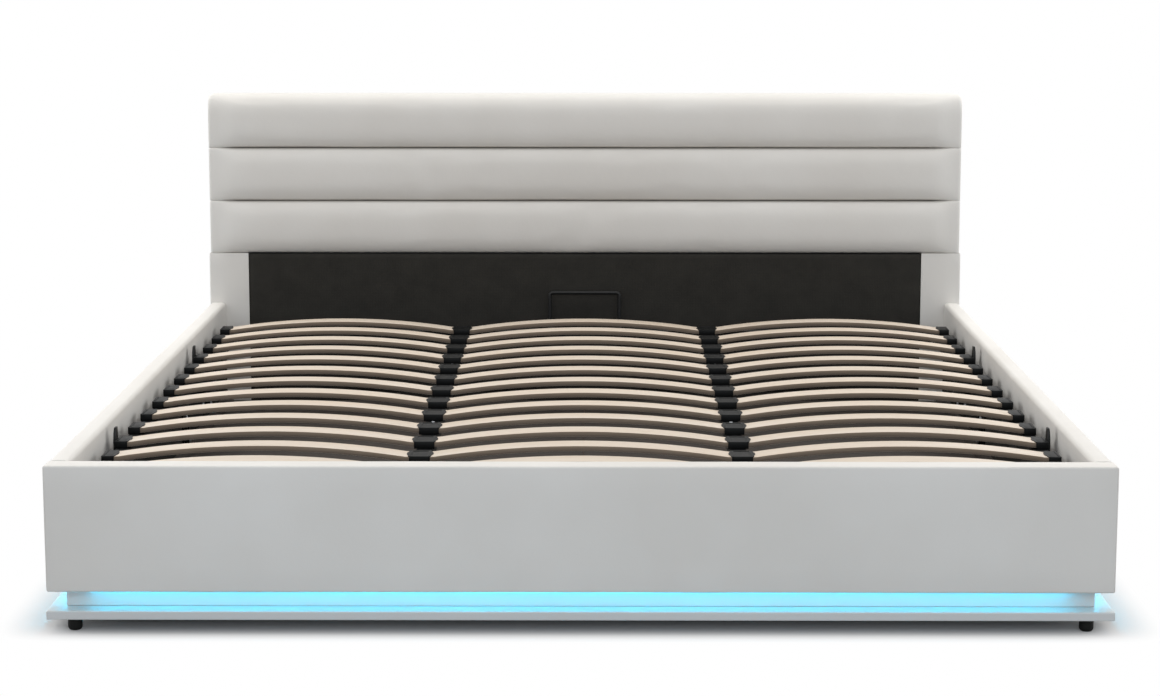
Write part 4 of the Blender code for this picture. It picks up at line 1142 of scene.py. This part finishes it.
# Round-headed screws on the inner tubes, in front of the connectors of the fourth and the ninth row
inner_low, inner_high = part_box("frame_inner_tube_right")
screws = []
for name in SCREWED_ROWS:
    row_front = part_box(name)[0].y
    spot = ((inner_low.x + inner_high.x) / 2, row_front - 2 * SCREW_RADIUS, inner_high.z)
    head = disc(SCREW_RADIUS, 0, SCREW_HEIGHT, segments=24, edge=SCREW_ROUND)
    screws.append(laid(head, spot, (0, 0, 1)))
both_sides(joined(*screws), "inner_tube_screws", ZINC, "platform")

# Plugs in the ends of the side tubes
plugs = []
for end, out in ((tube_low.y, -1), (tube_high.y, 1)):
    near, far = sorted((end + out * SEAT_GAP / 3, end + out * PLUG_HEAD))
    plug = block((tube_low.x, near, tube_low.z), (tube_high.x, far, tube_high.z))
    ease(plug, [e for e in plug.edges if any(abs(v.co.y - end) > SEAT_GAP for v in e.verts)], PLUG_ROUND)
    plugs.append(plug)
both_sides(joined(*plugs), "tube_end_plugs", PLASTIC, "platform")

# Finishes of the CAD nodes that stay, by the start of their names
NODE_FINISHES = {
    "base_board": BOARD,
    "plinth": BOARD,
    "centre_beam": PINE,
    # The cleats take the near-black pine that stands for painted shade
    "rest_cleat": SHADE_DARK_BATTEN,
    "floor_panel": PANEL,
    "led_strip": STRIP,
    "frame_": STEEL,
    "lift_": STEEL,
    "main_link": STEEL,
    "second_link": STEEL,
}
for name, node in frame["nodes"].items():
    for start, finish in NODE_FINISHES.items():
        if name.startswith(start):
            node.data.materials.clear()
            node.data.materials.append(finish)

# The plinth boards are lacquered where they show, and bare hardboard on the inside and on top
for name, inward in (("plinth_left", (1, 0, 0)), ("plinth_right", (-1, 0, 0)), ("plinth_front", (0, 1, 0))):
    data = frame["nodes"][name].data
    data.materials.append(PANEL)
    for f in data.polygons:
        f.material_index = int(f.normal.z > BARE_FACING or f.normal.dot(Vector(inward)) > BARE_FACING)


def seen_rays(tree):
    """1 for the rays that show a surface: from the camera, off gloss and through glass."""
    path = add(tree, "LightPath").outputs
    direct = add(tree, "Math", {0: path["Is Camera Ray"], 1: path["Is Glossy Ray"]}, operation="MAXIMUM")
    return add(tree, "Math", {0: direct, 1: path["Is Transmission Ray"]}, operation="MAXIMUM")


# Floor: white where it is seen lit, with the bed's real shadow kept and deepened under the bed by a painted
# grey, and a plain grey for the light it sends up
floor_finish = bpy.data.materials.new("studio_floor_white")
floor_finish.use_nodes = True
tree = floor_finish.node_tree
tree.nodes.clear()
spots = add(tree, "SeparateXYZ", {"Vector": add(tree, "TexCoord").outputs["Object"]}).outputs
terms = []
for axis, half in (("X", FLOOR_PATCH_X), ("Y", FLOOR_PATCH_Y)):
    distance = add(tree, "Math", {0: spots[axis]}, operation="ABSOLUTE")
    ratio = add(tree, "Math", {0: distance, 1: half}, operation="DIVIDE")
    terms.append(add(tree, "Math", {0: ratio, 1: FLOOR_PATCH_POWER}, operation="POWER"))
both = add(tree, "Math", dict(enumerate(terms)), operation="ADD")
away = add(tree, "Math", {0: both, 1: 1 / FLOOR_PATCH_POWER}, operation="POWER")
feeds = {"Value": away, "From Min": FLOOR_FADE_START, "From Max": FLOOR_FADE_END}
fade = add(tree, "MapRange", feeds, interpolation_type="SMOOTHSTEP")
grey_under_bed = add(tree, "BsdfDiffuse", {"Color": shade(FLOOR_SHADE_GREY)})
glow = add(tree, "Emission", {"Color": shade("FFFFFF"), "Strength": 1.0})
shown = add(tree, "MixShader", {0: fade, 1: grey_under_bed, 2: glow})
quiet = add(tree, "BsdfDiffuse", {"Color": shade(FLOOR_BOUNCE_GREY)})
mixed = add(tree, "MixShader", {0: seen_rays(tree), 1: quiet, 2: shown})
add(tree, "OutputMaterial", {"Surface": mixed})
ground = bmesh.new()
bmesh.ops.create_grid(ground, x_segments=1, y_segments=1, size=FLOOR_SIZE / 2)
data = bpy.data.meshes.new("studio_floor")
ground.to_mesh(data)
ground.free()
data.materials.append(floor_finish)
floor = bpy.data.objects.new("studio_floor", data)
floor.location.z = -FLOOR_DROP
scene.collection.objects.link(floor)

# Sky: white behind the bed and in its reflections, and a lower even level as light
world = bpy.data.worlds.new("studio_sky")
scene.world = world
world.use_nodes = True
tree = world.node_tree
tree.nodes.clear()
level = add(tree, "MapRange", {"Value": seen_rays(tree), "To Min": SKY_LEVEL, "To Max": 1.0})
sky = add(tree, "Background", {"Color": shade("FFFFFF"), "Strength": level})
add(tree, "OutputWorld", {"Surface": sky})

# Lamps overhead, in front and at both sides
for name, size, power, place, tint in (
    ("overhead_softbox", SOFTBOX_SIZE, SOFTBOX_POWER, SOFTBOX_PLACE, SOFTBOX_TINT),
    ("front_fill", FILL_SIZE, FILL_POWER, FILL_PLACE, FILL_TINT),
    ("side_softbox_right", SIDE_SIZE, SIDE_POWER, SIDE_PLACE, SIDE_TINT),
    ("side_softbox_left", SIDE_SIZE, SIDE_POWER, (-SIDE_PLACE[0], *SIDE_PLACE[1:]), SIDE_TINT),
):
    lamp = bpy.data.lights.new(name, "AREA")
    lamp.shape = "RECTANGLE"
    lamp.size, lamp.size_y = size
    lamp.energy = power
    lamp.color = shade(tint)[:3]
    source = bpy.data.objects.new(name, lamp)
    source.location = place
    source.rotation_euler = (Vector(LIGHT_AIM) - Vector(place)).to_track_quat("-Z", "Y").to_euler()
    scene.collection.objects.link(source)

camera_data = bpy.data.cameras.new("photo_camera")
camera_data.lens = CAMERA_LENS
camera_data.sensor_width = SENSOR_WIDTH
camera_data.clip_end = CAMERA_REACH
camera = bpy.data.objects.new("photo_camera", camera_data)
camera.location = CAMERA_PLACE
camera.rotation_euler = (math.pi / 2 - CAMERA_PITCH, 0.0, CAMERA_YAW)
scene.collection.objects.link(camera)
scene.camera = camera
scene.view_settings.view_transform = "Standard"
